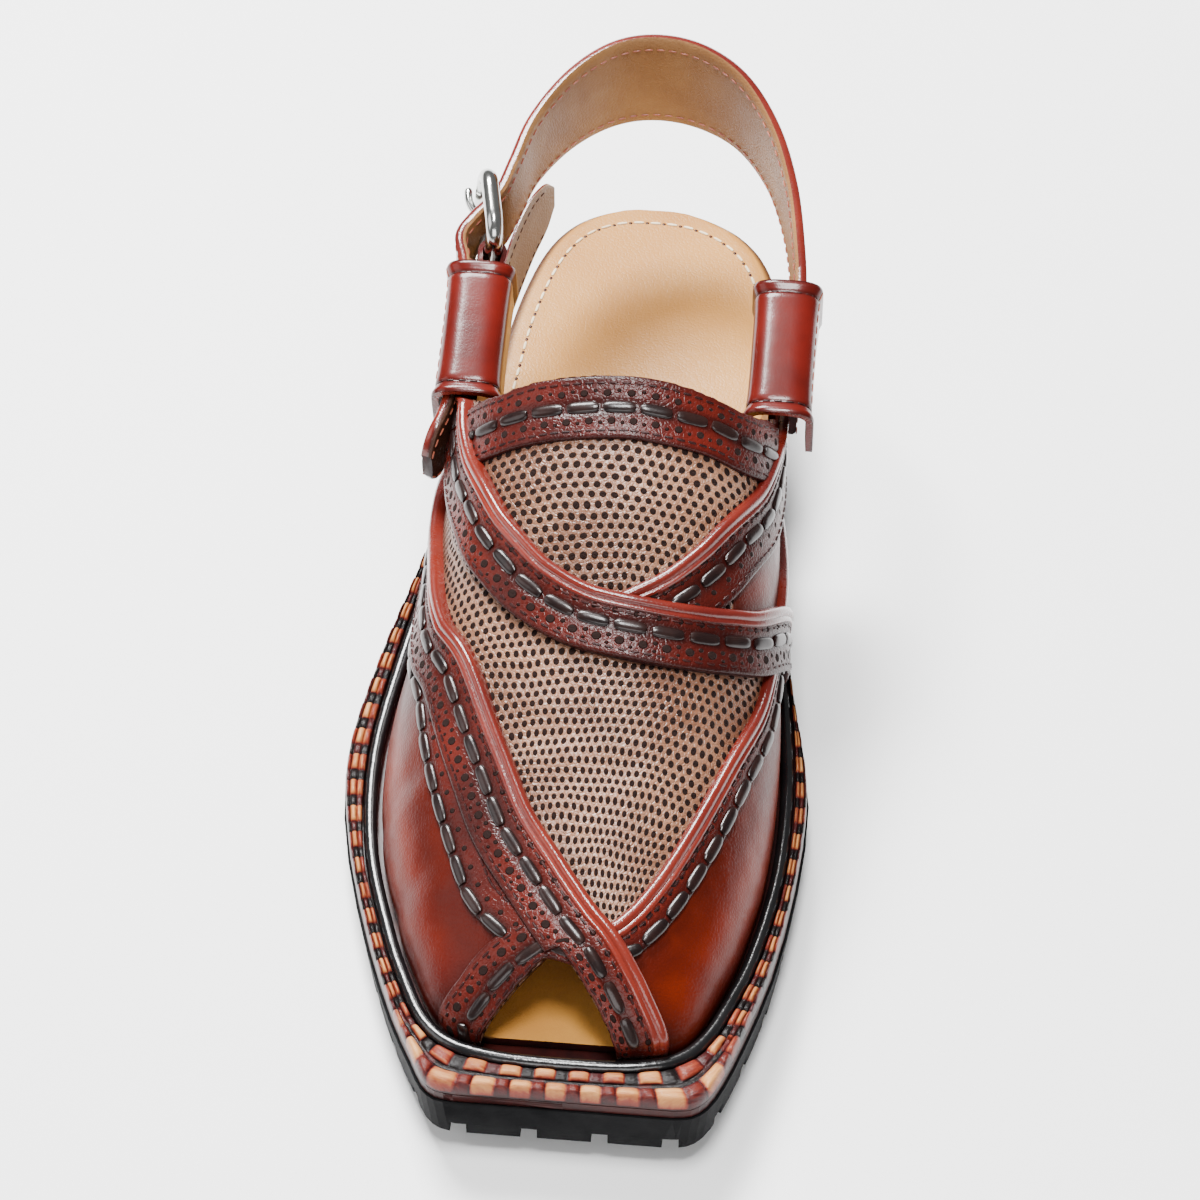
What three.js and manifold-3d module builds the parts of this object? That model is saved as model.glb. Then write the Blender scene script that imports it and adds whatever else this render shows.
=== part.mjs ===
// A leather chappal for the right foot: a closed upper of crossing straps over panels, with an open toe and an
// open heel, a buckled heel strap, a braided welt and a ribbed rubber sole. Millimetres, +Z up. The toe points to
// -Y, the heel to +Y, the inner (medial) side to +X. The origin is on the floor, under the middle of the sole.
import * as THREE from "three";
import { mergeVertices } from "three/addons/utils/BufferGeometryUtils.js";
import Module from "manifold-3d";

// Driving dimensions
const LENGTH = 290; // sole, heel to toe
const BALL_WIDTH = 118; // sole across the ball
const HEEL_WIDTH = 74.4; // sole across the heel
const TOE_WIDTH = 68; // sole across the square toe
const FOREFOOT_RUBBER = 12.6; // rubber under the ball
const HEEL_RUBBER = 30; // rubber under the heel
const TOE_SPRING = 6.5; // lift of the toe off the floor
const ARCH_LIFT = 13.5; // lift of the waist in front of the heel block
const MIDSOLE = 2.7;
const INSOLE = 2.7;
const INSOLE_INSET = 1.2; // from the sole's edge, behind the upper
const GAP = 0.3; // clearance between neighbouring pieces
const INSTEP_RISE = 79; // top of the collar above the midsole
const WALL = 2; // leather of the upper
const PANEL_EDGE = 1.2; // step of a strap that lies on the panels
const OVER_STRAP = 2.3; // step of a strap that lies over another
const STRAP_WIDTH = 16.4;
const BEAD = 0.9; // rolled edge above its strap
const STRAP_SPAN = 8.4; // length of one facet of a strap
const STRAP_EDGE_DROP = 0.5; // how far a strap's cut edge lies under its top
const BEAD_EDGE_DROP = 0.3; // the same outside a rolled edge
const STRAP_LIFT = 0.15; // strap over panel where it is tucked in at the foot
const TUCK_START = 5; // height over the midsole at which a strap comes out of the tuck
const TUCK_END = 10; // height at which it lies at its full step
const FOOT_HEIGHT = 14; // height under which a strap bends more and has shorter facets
const WELT_HEIGHT = 4.6;
const WRAP_PITCH = 8; // one wrap of the welt's braid and the strip after it
const WRAP_STEP = 0.7; // how far a wrap stands over the strip
const RAND_RADIUS = 1.75;
const LUG_HEIGHT = 3.6;
const LUG_GAP = 4;
const LUG_PITCH = 17;
const LUG_DEPTH = 13;
const SIDE_TAPER = 1.2; // how far the rubber narrows towards the floor
const STRAP_THICKNESS = 3.4; // heel strap with its lining
const HEEL_STRAP_HEIGHT = 30; // heel strap behind the heel
const STRAP_TOP = 77; // height of the heel strap's top edge at the front of the sleeves
const STRAP_BACK_TOP = 104; // height of that edge behind the heel
const SLEEVE_FRONT = 29.5; // front rim of the sleeves, towards the heel from the origin
const SLEEVE_LENGTH = 39;
const SLEEVE_WIDTH = 17;
const SLEEVE_WALL = 1.6;
const SLEEVE_OUTER_LEG = 13;
const SLEEVE_INNER_LEG = 9;
const SLEEVE_ARCH = 5; // height of the arch over the legs, inside
const SLEEVE_ROOM = 1.8; // room between the heel strap and the arch
const TAB_THICKNESS = 1.3;
const TAB_HEIGHT = 25;
const BUCKLE_LENGTH = 25;
const BUCKLE_HEIGHT = 33;
const BUCKLE_WIRE = 4.6;
const BUCKLE_CORNER = 6; // radius of the frame's corners
const PRONG_RADIUS = 1.1;
const PRONG_RISE = 2; // where the prong comes out, in front of the rear bar
const PRONG_REACH = 3; // its tip behind the rear bar
const CHAPE_THICKNESS = 1.2;
const CHAPE_LEG = 10; // length of the two ends that run into the sleeve
const CHAPE_HEIGHT = 12;
const CHAPE_PINCH = 1.2; // how far each end of the fold leans in

const HALF_BALL = BALL_WIDTH / 2;
const HALF_HEEL = HEEL_WIDTH / 2;
const STRAP_BACK = 0.482 * LENGTH; // rearmost place of the heel strap
const STRAP_SLOPE = (STRAP_BACK_TOP - STRAP_TOP) / (STRAP_BACK - SLEEVE_FRONT);
const FLOOR_BEAM = 60; // half height of a cutting block, more than any cut needs

// Tables, as shares of the named sizes

// Top of the rubber: along (share of LENGTH), share of the rise to the heel, share of the toe spring
const PLATFORM = [
  [-0.5, 0, 0.9],
  [-0.414, 0, 0.42],
  [-0.328, 0, 0.11],
  [-0.224, 0, 0],
  [-0.121, 0.01, 0],
  [0, 0.155, 0],
  [0.103, 0.44, 0],
  [0.207, 0.73, 0],
  [0.31, 0.9, 0],
  [0.414, 0.977, 0],
  [0.5, 1, 0],
];

// Underside of the rubber: along, share of the arch lift, share of the toe spring
const UNDERSIDE = [
  [-0.5, 0, 1],
  [-0.414, 0, 0.36],
  [-0.33, 0, 0],
  [-0.12, 0, 0],
  [0, 0.22, 0],
  [0.1, 0.62, 0],
  [0.17, 0.9, 0],
  [0.21, 1, 0],
];
const HEEL_BREAST = 0.213; // share of LENGTH, behind which the heel block stands on the floor

// Outline of the sole: along, lateral and medial edge as shares of the half width that acts there
const OUTLINE = [
  { along: 0.5, lateral: 0, medial: 0.24, width: HALF_HEEL },
  { along: 0.4965, lateral: -0.16, medial: 0.42, width: HALF_HEEL },
  { along: 0.486, lateral: -0.35, medial: 0.62, width: HALF_HEEL },
  { along: 0.469, lateral: -0.51, medial: 0.81, width: HALF_HEEL },
  { along: 0.441, lateral: -0.65, medial: 0.98, width: HALF_HEEL },
  { along: 0.4, lateral: -0.76, medial: 1.1, width: HALF_HEEL },
  { along: 0.338, lateral: -0.86, medial: 1.14, width: HALF_HEEL },
  { along: 0.248, lateral: -0.94, medial: 1.13, width: HALF_HEEL },
  { along: 0.155, lateral: -0.69, medial: 0.755, width: HALF_BALL },
  { along: 0.062, lateral: -0.805, medial: 0.822, width: HALF_BALL },
  { along: -0.041, lateral: -0.93, medial: 0.905, width: HALF_BALL },
  { along: -0.145, lateral: -1, medial: 1, width: HALF_BALL },
  { along: -0.241, lateral: -0.935, medial: 0.985, width: HALF_BALL },
  { along: -0.338, lateral: -0.795, medial: 0.915, width: HALF_BALL },
  { along: -0.414, lateral: -0.655, medial: 0.82, width: HALF_BALL },
  { along: -0.46, lateral: -0.95, medial: 1.3, width: TOE_WIDTH / 2 },
  { along: -0.4855, lateral: -0.84, medial: 1.2, width: TOE_WIDTH / 2 },
  { along: -0.497, lateral: -0.73, medial: 1.09, width: TOE_WIDTH / 2 },
  { along: -0.5, lateral: -0.59, medial: 0.955, width: TOE_WIDTH / 2 },
];

// Sections of the last, heel side first. The foot of a section: along (of LENGTH), lateral, medial (of HALF_BALL).
// Its ridge: ridgeAlong, ridgeSide, rise (of INSTEP_RISE). Its walls: how far the lateral and the medial wall lean
// out (of HALF_BALL), and how high the wall and how wide the roof pull the curve.
const LAST = [
  { along: 0.276, lateral: -0.52, medial: 0.644, ridgeAlong: 0.255, ridgeSide: 0.1, rise: 1.58, outLateral: 0.06,
    outMedial: 0.258, wall: 0.75, roof: 0.75 },
  { along: 0.172, lateral: -0.585, medial: 0.658, ridgeAlong: 0.162, ridgeSide: 0.11, rise: 1.19,
    outLateral: 0.076, outMedial: 0.284, wall: 0.75, roof: 0.75 },
  { along: 0.069, lateral: -0.666, medial: 0.708, ridgeAlong: 0.062, ridgeSide: 0.119, rise: 1,
    outLateral: 0.042, outMedial: 0.263, wall: 0.75, roof: 0.72 },
  { along: -0.0276, lateral: -0.756, medial: 0.79, ridgeAlong: -0.031, ridgeSide: 0.127, rise: 0.9,
    outLateral: -0.085, outMedial: 0.153, wall: 0.7, roof: 0.66 },
  { along: -0.138, lateral: -0.82, medial: 0.854, ridgeAlong: -0.138, ridgeSide: 0.136, rise: 0.696,
    outLateral: -0.03, outMedial: 0.089, wall: 0.64, roof: 0.62 },
  { along: -0.241, lateral: -0.78, medial: 0.847, ridgeAlong: -0.245, ridgeSide: 0.144, rise: 0.544,
    outLateral: 0.034, outMedial: 0.068, wall: 0.6, roof: 0.56 },
  { along: -0.331, lateral: -0.653, medial: 0.771, ridgeAlong: -0.338, ridgeSide: 0.136, rise: 0.411,
    outLateral: 0.068, outMedial: 0.068, wall: 0.6, roof: 0.55 },
  { along: -0.386, lateral: -0.547, medial: 0.686, ridgeAlong: -0.3966, ridgeSide: 0.127, rise: 0.314,
    outLateral: 0.059, outMedial: 0.059, wall: 0.6, roof: 0.55 },
  { along: -0.4224, lateral: -0.458, medial: 0.61, ridgeAlong: -0.4293, ridgeSide: 0.11, rise: 0.215,
    outLateral: 0.051, outMedial: 0.051, wall: 0.6, roof: 0.55 },
  { along: -0.443, lateral: -0.347, medial: 0.517, ridgeAlong: -0.4476, ridgeSide: 0.102, rise: 0.114,
    outLateral: 0.034, outMedial: 0.034, wall: 0.6, roof: 0.55 },
  { along: -0.4528, lateral: -0.17, medial: 0.356, ridgeAlong: -0.4545, ridgeSide: 0.093, rise: 0, outLateral: 0,
    outMedial: 0, wall: 0.6, roof: 0.55 },
];

// Straps on the last: middle line as [across, along], across from -1 (lateral foot of the wall) over 0 (ridge) to 1
// (medial foot), along from 0 (heel side) to 1 (toe). inner and outer are the shares of the half width on the
// two sides of that line, step is the height over the panels, bead says on which side the rolled edge lies.
const STRAPS = {
  band: {
    line: [[-0.6, 0.215], [-0.46, 0.226], [-0.34, 0.229], [-0.16, 0.229], [0.01, 0.226], [0.16, 0.2255],
      [0.3, 0.223], [0.45, 0.219], [0.62, 0.2]],
    inner: 1, outer: 1, step: PANEL_EDGE, bead: 0,
  },
  medialInstep: {
    line: [[0.76, 0.155], [0.67, 0.21], [0.57, 0.268], [0.41, 0.321], [0.31, 0.348], [0.2, 0.371], [0.06, 0.392]],
    inner: 1, outer: 1, step: PANEL_EDGE, bead: -1, fadeStart: true,
  },
  medialToe: {
    line: [[0.92, 0.18], [0.86, 0.255], [0.78, 0.325], [0.72, 0.378], [0.67, 0.421], [0.57, 0.476], [0.46, 0.553],
      [0.38, 0.607], [0.29, 0.663], [0.19, 0.7], [0.03, 0.712]],
    inner: 1, outer: 0.25, step: PANEL_EDGE, bead: -1,
  },
  lateralToeEnd: {
    line: [[0.03, 0.712], [-0.12, 0.698], [-0.22, 0.722], [-0.31, 0.757], [-0.42, 0.81], [-0.6, 0.87],
      [-0.85, 0.93], [-1.03, 0.96]],
    inner: 1, outer: 1, step: PANEL_EDGE, bead: 0,
  },
  lateralPanelEdge: {
    line: [[-1.04, 0.15], [-0.98, 0.2], [-0.92, 0.25], [-0.82, 0.325], [-0.7, 0.378], [-0.6, 0.42],
      [-0.55, 0.468], [-0.51, 0.507], [-0.46, 0.559], [-0.42, 0.602], [-0.38, 0.633], [-0.29, 0.672], [-0.2, 0.7]],
    inner: 0.25, outer: 1, step: PANEL_EDGE, bead: 0,
  },
  lateralToe: {
    line: [[-1.04, 0.055], [-0.95, 0.125], [-0.86, 0.2], [-0.8, 0.27], [-0.7, 0.328], [-0.58, 0.378],
      [-0.46, 0.418], [-0.35, 0.492], [-0.27, 0.551], [-0.17, 0.6], [-0.04, 0.668], [0.07, 0.715], [0.18, 0.773],
      [0.36, 0.872], [0.56, 0.945], [0.85, 1]],
    inner: 1, outer: 1, step: OVER_STRAP, bead: 1,
  },
  instep: {
    line: [[-0.66, 0.172], [-0.62, 0.21], [-0.54, 0.262], [-0.42, 0.312], [-0.3, 0.345], [-0.19, 0.37],
      [-0.05, 0.39], [0.12, 0.395], [0.28, 0.391], [0.42, 0.381], [0.575, 0.363], [0.8, 0.32], [1.02, 0.28]],
    inner: 1, outer: 1, step: OVER_STRAP, bead: 1, fadeStart: true,
  },
};

// Toe opening in plan: along (of LENGTH), lateral and medial edge (of TOE_WIDTH)
const TOE_OPENING = { apex: -0.393, base: -0.47, apexSide: 0.034, lateral: -0.31, medial: 0.325 };

// Collar and wings from the side, front to back: along (of LENGTH), height above the floor (of INSTEP_RISE)
const COLLAR = [
  [0.0641, 1.8],
  [0.0641, 1.2],
  [0.0655, 1.14],
  [0.074, 1.075],
  [0.095, 0.995],
  [0.107, 0.955],
  [0.225, 1.05],
  [0.225, 0.82],
  [0.212, 0.66],
  [0.19, 0.52],
  [0.165, 0.4],
  [0.165, 0.1],
];

// Heel strap, lateral tail first: across (of HALF_BALL), along (of LENGTH), height (of HEEL_STRAP_HEIGHT)
const HEEL_STRAP = [
  [-0.738, 0.056, 0.6],
  [-0.684, 0.086, 0.6],
  [-0.659, 0.112, 0.6],
  [-0.656, 0.16, 0.6],
  [-0.659, 0.232, 0.6],
  [-0.694, 0.264, 0.61],
  [-0.649, 0.285, 0.64],
  [-0.549, 0.312, 0.69],
  [-0.498, 0.345, 0.74],
  [-0.432, 0.391, 0.82],
  [-0.296, 0.438, 0.92],
  [-0.12, 0.4705, 0.985],
  [0.076, 0.4818, 1],
  [0.29, 0.474, 0.985],
  [0.485, 0.446, 0.92],
  [0.637, 0.397, 0.82],
  [0.735, 0.338, 0.74],
  [0.788, 0.276, 0.66],
  [0.81, 0.228, 0.6],
  [0.81, 0.17, 0.6],
  [0.81, 0.134, 0.6],
];

// Comfort tab: across (of HALF_BALL), along (of LENGTH), top and bottom (of TAB_HEIGHT, from its top)
const TAB = [
  [-0.492, 0.12, 0.42, 0.9],
  [-0.492, 0.2, 0.2, 0.95],
  [-0.489, 0.24, 0.06, 1],
  [-0.463, 0.266, 0, 0.98],
  [-0.41, 0.303, 0.02, 0.9],
  [-0.356, 0.328, 0.12, 0.78],
  [-0.328, 0.34, 0.3, 0.6],
];

// Surfaces

const wasm = await Module();
wasm.setup();

const clamp = THREE.MathUtils.clamp;
const smoothstep = THREE.MathUtils.smoothstep;
const vec = (x, y, z) => new THREE.Vector3(x, y, z);

// One value of a Catmull-Rom curve through evenly spaced numbers; past the ends the last cubic goes on.
function splineValue(values, place) {
  const last = values.length - 1;
  const i = clamp(Math.floor(place), 0, last - 1);
  const u = place - i;
  const b = values[i];
  const c = values[i + 1];
  const a = i > 0 ? values[i - 1] : 2 * b - c;
  const d = i + 2 <= last ? values[i + 2] : 2 * c - b;
  return b + 0.5 * u * (c - a + u * (2 * a - 5 * b + 4 * c - d + u * (3 * (b - c) + d - a)));
}

// A named column of a table of sections at share s of its length.
const columnAt = (table, name, s) =>
  splineValue(
    table.map((row) => row[name]),
    s * (table.length - 1),
  );

// A column of a profile at x, as a cubic that doesn't overshoot its rows.
function profileValue(rows, column, x) {
  const n = rows.length - 1;
  const at = clamp(x, rows[0][0], rows[n][0]);
  let i = 0;
  while (i < n - 1 && at > rows[i + 1][0]) i += 1;
  const slope = (k) => (rows[k + 1][column] - rows[k][column]) / (rows[k + 1][0] - rows[k][0]);
  const tangent = (k) => {
    if (k === 0) return slope(0);
    if (k === n) return slope(n - 1);
    const before = slope(k - 1);
    const after = slope(k);
    return before * after > 0 ? (2 * before * after) / (before + after) : 0;
  };
  const h = rows[i + 1][0] - rows[i][0];
  const t = (at - rows[i][0]) / h;
  const t2 = t * t;
  const t3 = t2 * t;
  return (
    (2 * t3 - 3 * t2 + 1) * rows[i][column] +
    (t3 - 2 * t2 + t) * h * tangent(i) +
    (3 * t2 - 2 * t3) * rows[i + 1][column] +
    (t3 - t2) * h * tangent(i + 1)
  );
}

// Heights of the sole's layers at a place along the shoe
const rubberTop = (y) =>
  FOREFOOT_RUBBER +
  (HEEL_RUBBER - FOREFOOT_RUBBER) * profileValue(PLATFORM, 1, y / LENGTH) +
  TOE_SPRING * profileValue(PLATFORM, 2, y / LENGTH);
const midsoleTop = (y) => rubberTop(y) + GAP + MIDSOLE;
const insoleTop = (y) => midsoleTop(y) + GAP + INSOLE;
const rubberUnder = (y) =>
  y / LENGTH > HEEL_BREAST
    ? 0
    : ARCH_LIFT * profileValue(UNDERSIDE, 1, y / LENGTH) + TOE_SPRING * profileValue(UNDERSIDE, 2, y / LENGTH);
const strapTop = (y) => STRAP_TOP + STRAP_SLOPE * (y - SLEEVE_FRONT);

// A point of the last: each side of a section is a cubic Bezier curve from its foot to its ridge.
function lastPoint(across, along) {
  const at = (name) => columnAt(LAST, name, along);
  const t = 1 - Math.abs(across);
  const side = HALF_BALL * (across < 0 ? at("lateral") : at("medial"));
  const out = HALF_BALL * (across < 0 ? -at("outLateral") : at("outMedial"));
  const ridge = HALF_BALL * at("ridgeSide");
  const b0 = (1 - t) ** 3;
  const b1 = 3 * t * (1 - t) ** 2;
  const b2 = 3 * t * t * (1 - t);
  const b3 = t ** 3;
  const x = b0 * side + b1 * (side + out) + b2 * (ridge + (side - ridge) * at("roof")) + b3 * ridge;
  const y = LENGTH * (at("along") + (at("ridgeAlong") - at("along")) * (3 * t * t - 2 * t ** 3));
  const z = midsoleTop(y) + INSTEP_RISE * at("rise") * (b1 * at("wall") + b2 + b3);
  return vec(x, y, z);
}

const STEP = 0.01; // share used for a slope of the last

function lastSlopes(across, along) {
  const a = clamp(across, -1, 1);
  const byAcross = lastPoint(a + STEP, along)
    .sub(lastPoint(a - STEP, along))
    .divideScalar(2 * STEP);
  const byAlong = lastPoint(a, along + STEP)
    .sub(lastPoint(a, along - STEP))
    .divideScalar(2 * STEP);
  return { byAcross, byAlong, normal: byAlong.clone().cross(byAcross).normalize() };
}

const offsetPoint = (across, along, offset) =>
  lastPoint(across, along).addScaledVector(lastSlopes(across, along).normal, offset);

// Walks over the last from a place, along a direction in space, in short steps; gives the place reached.
function walk(place, direction, distance) {
  const steps = 3;
  let [across, along] = place;
  for (let i = 0; i < steps; i += 1) {
    const { byAcross, byAlong } = lastSlopes(across, along);
    const aa = byAcross.dot(byAcross);
    const ab = byAcross.dot(byAlong);
    const bb = byAlong.dot(byAlong);
    const ra = (byAcross.dot(direction) * distance) / steps;
    const rb = (byAlong.dot(direction) * distance) / steps;
    const det = aa * bb - ab * ab;
    across = clamp(across + (ra * bb - rb * ab) / det, -1.1, 1.1);
    along = clamp(along + (rb * aa - ra * ab) / det, 0, 1.04);
  }
  return [across, along];
}

// Solids

// A closed geometry from rings of points, or from an outer and an inner sheet of rows of points.
function closedGeometry(points, faces) {
  const geometry = new THREE.BufferGeometry().setFromPoints(points).setIndex(faces.flat());
  let volume = 0;
  for (const [a, b, c] of faces) volume += points[a].dot(points[b].clone().cross(points[c]));
  if (volume < 0) geometry.setIndex(faces.flatMap(([a, b, c]) => [a, c, b]));
  return geometry;
}

function slab(outer, inner) {
  const rows = outer.length;
  const columns = outer[0].length;
  const points = [...outer.flat(), ...inner.flat()];
  const top = (i, j) => i * columns + j;
  const under = (i, j) => rows * columns + i * columns + j;
  const faces = [];
  const quad = (a, b, c, d) => faces.push([a, b, c], [a, c, d]);
  for (let i = 0; i + 1 < rows; i += 1)
    for (let j = 0; j + 1 < columns; j += 1) {
      quad(top(i, j), top(i, j + 1), top(i + 1, j + 1), top(i + 1, j));
      quad(under(i, j), under(i + 1, j), under(i + 1, j + 1), under(i, j + 1));
    }
  for (let i = 0; i + 1 < rows; i += 1) {
    const j = columns - 1;
    quad(top(i, 0), top(i + 1, 0), under(i + 1, 0), under(i, 0));
    quad(top(i + 1, j), top(i, j), under(i, j), under(i + 1, j));
  }
  for (let j = 0; j + 1 < columns; j += 1) {
    const i = rows - 1;
    quad(top(0, j + 1), top(0, j), under(0, j), under(0, j + 1));
    quad(top(i, j), top(i, j + 1), under(i, j + 1), under(i, j));
  }
  return closedGeometry(points, faces);
}

function tube(rings, loop = false) {
  const count = rings.length;
  const sides = rings[0].length;
  const faces = [];
  for (let i = 0; i < (loop ? count : count - 1); i += 1)
    for (let j = 0; j < sides; j += 1) {
      const a = i * sides + j;
      const b = i * sides + ((j + 1) % sides);
      const c = ((i + 1) % count) * sides + ((j + 1) % sides);
      const d = ((i + 1) % count) * sides + j;
      faces.push([a, b, c], [a, c, d]);
    }
  if (!loop)
    for (let j = 1; j + 1 < sides; j += 1) {
      const end = (count - 1) * sides;
      faces.push([0, j + 1, j], [end, end + j, end + j + 1]);
    }
  return closedGeometry(rings.flat(), faces);
}

// Round rings along a list of points; up is a direction that the path never follows.
function roundRings(path, radius, sides, up, loop = false) {
  const n = path.length;
  return path.map((point, i) => {
    const before = path[loop ? (i + n - 1) % n : Math.max(i - 1, 0)];
    const after = path[loop ? (i + 1) % n : Math.min(i + 1, n - 1)];
    const forward = after.clone().sub(before).normalize();
    const right = forward.clone().cross(up).normalize();
    const over = right.clone().cross(forward);
    return Array.from({ length: sides }, (_, k) => {
      const angle = (2 * Math.PI * (k + 0.5)) / sides;
      return point
        .clone()
        .addScaledVector(right, radius * Math.cos(angle))
        .addScaledVector(over, radius * Math.sin(angle));
    });
  });
}

function solidOf(geometry) {
  const bare = geometry.clone();
  bare.deleteAttribute("normal");
  bare.deleteAttribute("uv");
  const merged = mergeVertices(bare, 1e-4);
  return new wasm.Manifold(
    new wasm.Mesh({
      numProp: 3,
      vertProperties: new Float32Array(merged.attributes.position.array),
      triVerts: new Uint32Array(merged.index.array),
    }),
  );
}

function geometryOf(solid) {
  const { numProp, vertProperties, triVerts } = solid.getMesh();
  const positions = new Float32Array((vertProperties.length / numProp) * 3);
  for (let i = 0; i < positions.length / 3; i += 1)
    positions.set(vertProperties.subarray(i * numProp, i * numProp + 3), i * 3);
  return new THREE.BufferGeometry()
    .setAttribute("position", new THREE.BufferAttribute(positions, 3))
    .setIndex(new THREE.BufferAttribute(new Uint32Array(triVerts), 1));
}

const joined = (solids) => solids.reduce((sum, solid) => sum.add(solid));

// Outlines in plan

const samples = (count, from = 0, to = 1) =>
  Array.from({ length: count + 1 }, (_, i) => from + ((to - from) * i) / count);

// Edge of the sole at share s from heel to toe, side -1 lateral or 1 medial
function outlinePoint(side, s) {
  const name = side < 0 ? "lateral" : "medial";
  const values = OUTLINE.map((row) => row[name] * row.width);
  return new THREE.Vector2(splineValue(values, s * (OUTLINE.length - 1)), LENGTH * columnAt(OUTLINE, "along", s));
}

const footPoint = (side, s) => {
  const point = lastPoint(side, s);
  return new THREE.Vector2(point.x, point.y);
};

// Moves an open chain of plan points to its right-hand side by a distance, or by a list of distances.
function offsetChain(chain, distance) {
  return chain.map((point, i) => {
    const before = chain[Math.max(i - 1, 0)];
    const after = chain[Math.min(i + 1, chain.length - 1)];
    const forward = after.clone().sub(before).normalize();
    const by = Array.isArray(distance) ? distance[i] : distance;
    return new THREE.Vector2(point.x + forward.y * by, point.y - forward.x * by);
  });
}

// A plate between two chains of plan points, with its top and underside as heights along the shoe
function plate(lateral, medial, columns, topAt, underAt, taper = 0) {
  const row = (i, inset, heightAt) =>
    samples(columns).map((u) => {
      const reach = medial[i].x - lateral[i].x - 2 * inset;
      const x = lateral[i].x + inset + u * reach;
      const y = lateral[i].y + u * (medial[i].y - lateral[i].y);
      return vec(x, y, heightAt(y));
    });
  return slab(
    lateral.map((_, i) => row(i, 0, topAt)),
    lateral.map((_, i) => row(i, taper, underAt)),
  );
}

// Pieces of the sole

const SOLE_SHARES = [...samples(11, 0, 0.36), 0.405, 0.425, ...samples(20, 0.45, 1)];

function outlineChains(inset) {
  return [-1, 1].map((side) => {
    const chain = SOLE_SHARES.map((s) => outlinePoint(side, s));
    return inset ? offsetChain(chain, side * inset) : chain;
  });
}

// The perimeter of the sole in plan, from a share on the lateral side round the toe to the same on the medial side
function perimeter(from, to, count) {
  const shares = samples(count, from, to);
  const lateral = shares.map((s) => outlinePoint(-1, s));
  const medial = shares.map((s) => outlinePoint(1, s)).reverse();
  return [...lateral, ...medial];
}

function grooveCutter(point, outward, length, width) {
  const inner = point.clone().addScaledVector(outward, -LUG_DEPTH);
  const slope = (rubberUnder(point.y) - rubberUnder(inner.y)) / LUG_DEPTH;
  const box = new THREE.BoxGeometry(length, width, 2 * FLOOR_BEAM);
  const frame = new THREE.Matrix4().makeBasis(
    vec(outward.x, outward.y, slope).normalize(),
    vec(-outward.y, outward.x, 0),
    vec(0, 0, 1),
  );
  const middle = point.clone().addScaledVector(outward, 2 - length / 2);
  frame.setPosition(middle.x, middle.y, rubberUnder(middle.y) + LUG_HEIGHT - FLOOR_BEAM);
  return solidOf(box.applyMatrix4(frame));
}

// Grooves from the right-hand side into an open chain of plan points, one every LUG_PITCH
function groovesAlong(chain) {
  const grooves = [];
  let travelled = LUG_PITCH / 2;
  for (let i = 1; i < chain.length; i += 1) {
    const step = chain[i].clone().sub(chain[i - 1]);
    const length = step.length();
    const forward = step.clone().normalize();
    const outward = new THREE.Vector2(forward.y, -forward.x);
    while (travelled < length) {
      const point = chain[i - 1].clone().addScaledVector(forward, travelled);
      grooves.push(grooveCutter(point, outward, LUG_DEPTH + 2, LUG_GAP));
      travelled += LUG_PITCH;
    }
    travelled -= length;
  }
  return grooves;
}

function makeOutsole() {
  const [lateral, medial] = outlineChains(0);
  const waist = lateral.findIndex((point) => point.y / LENGTH < HEEL_BREAST);
  const breast = HEEL_BREAST * LENGTH;
  for (const chain of [lateral, medial]) {
    chain.splice(waist, 0, new THREE.Vector2((chain[waist - 1].x + chain[waist].x) / 2, breast + 0.01));
    chain.splice(waist + 1, 0, new THREE.Vector2(chain[waist].x, breast - 1.5));
  }
  let sole = solidOf(plate(lateral, medial, 3, rubberTop, rubberUnder, SIDE_TAPER));
  const forefoot = perimeter(0.62, 1, 60);
  const heel = perimeter(0, 0.36, 60);
  const cuts = [...groovesAlong(forefoot), ...groovesAlong(heel.slice(0, 61)), ...groovesAlong(heel.slice(61))];
  for (const share of [-0.33, -0.27, -0.21, -0.15]) {
    const middle = new THREE.Vector2(HALF_BALL / 2, share * LENGTH);
    cuts.push(grooveCutter(middle, new THREE.Vector2(1, 0), HALF_BALL, LUG_GAP));
  }
  for (const cut of cuts) sole = sole.subtract(cut);
  return geometryOf(sole);
}

function makeMidsole() {
  const [lateral, medial] = outlineChains(0.6);
  return plate(lateral, medial, 2, midsoleTop, (y) => rubberTop(y) + GAP);
}

// The insole: along the sole's edge behind the upper's wings, and inside the upper's wall in front of them
function makeInsole() {
  const wingEnd = COLLAR[COLLAR.length - 1][0] * LENGTH;
  const heelShares = samples(9, 0, 0.415);
  const frontShares = [...samples(15, 0.12, 0.8), 0.86, 0.92, 0.97];
  const [lateral, medial] = [-1, 1].map((side) => {
    const edge = (share) => outlinePoint(side, share);
    const foot = (share) => footPoint(side, share);
    const heel = offsetChain(heelShares.map(edge), side * INSOLE_INSET);
    const front = offsetChain(frontShares.map(foot), side * (WALL + 3 * GAP));
    const corner = heel[heel.length - 1].clone().setY(wingEnd + 5 * GAP);
    const notch = front[0].clone().setY(wingEnd + 3 * GAP);
    return [...heel, corner, notch, ...front];
  });
  return plate(lateral, medial, 2, insoleTop, (y) => midsoleTop(y) + GAP);
}

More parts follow.
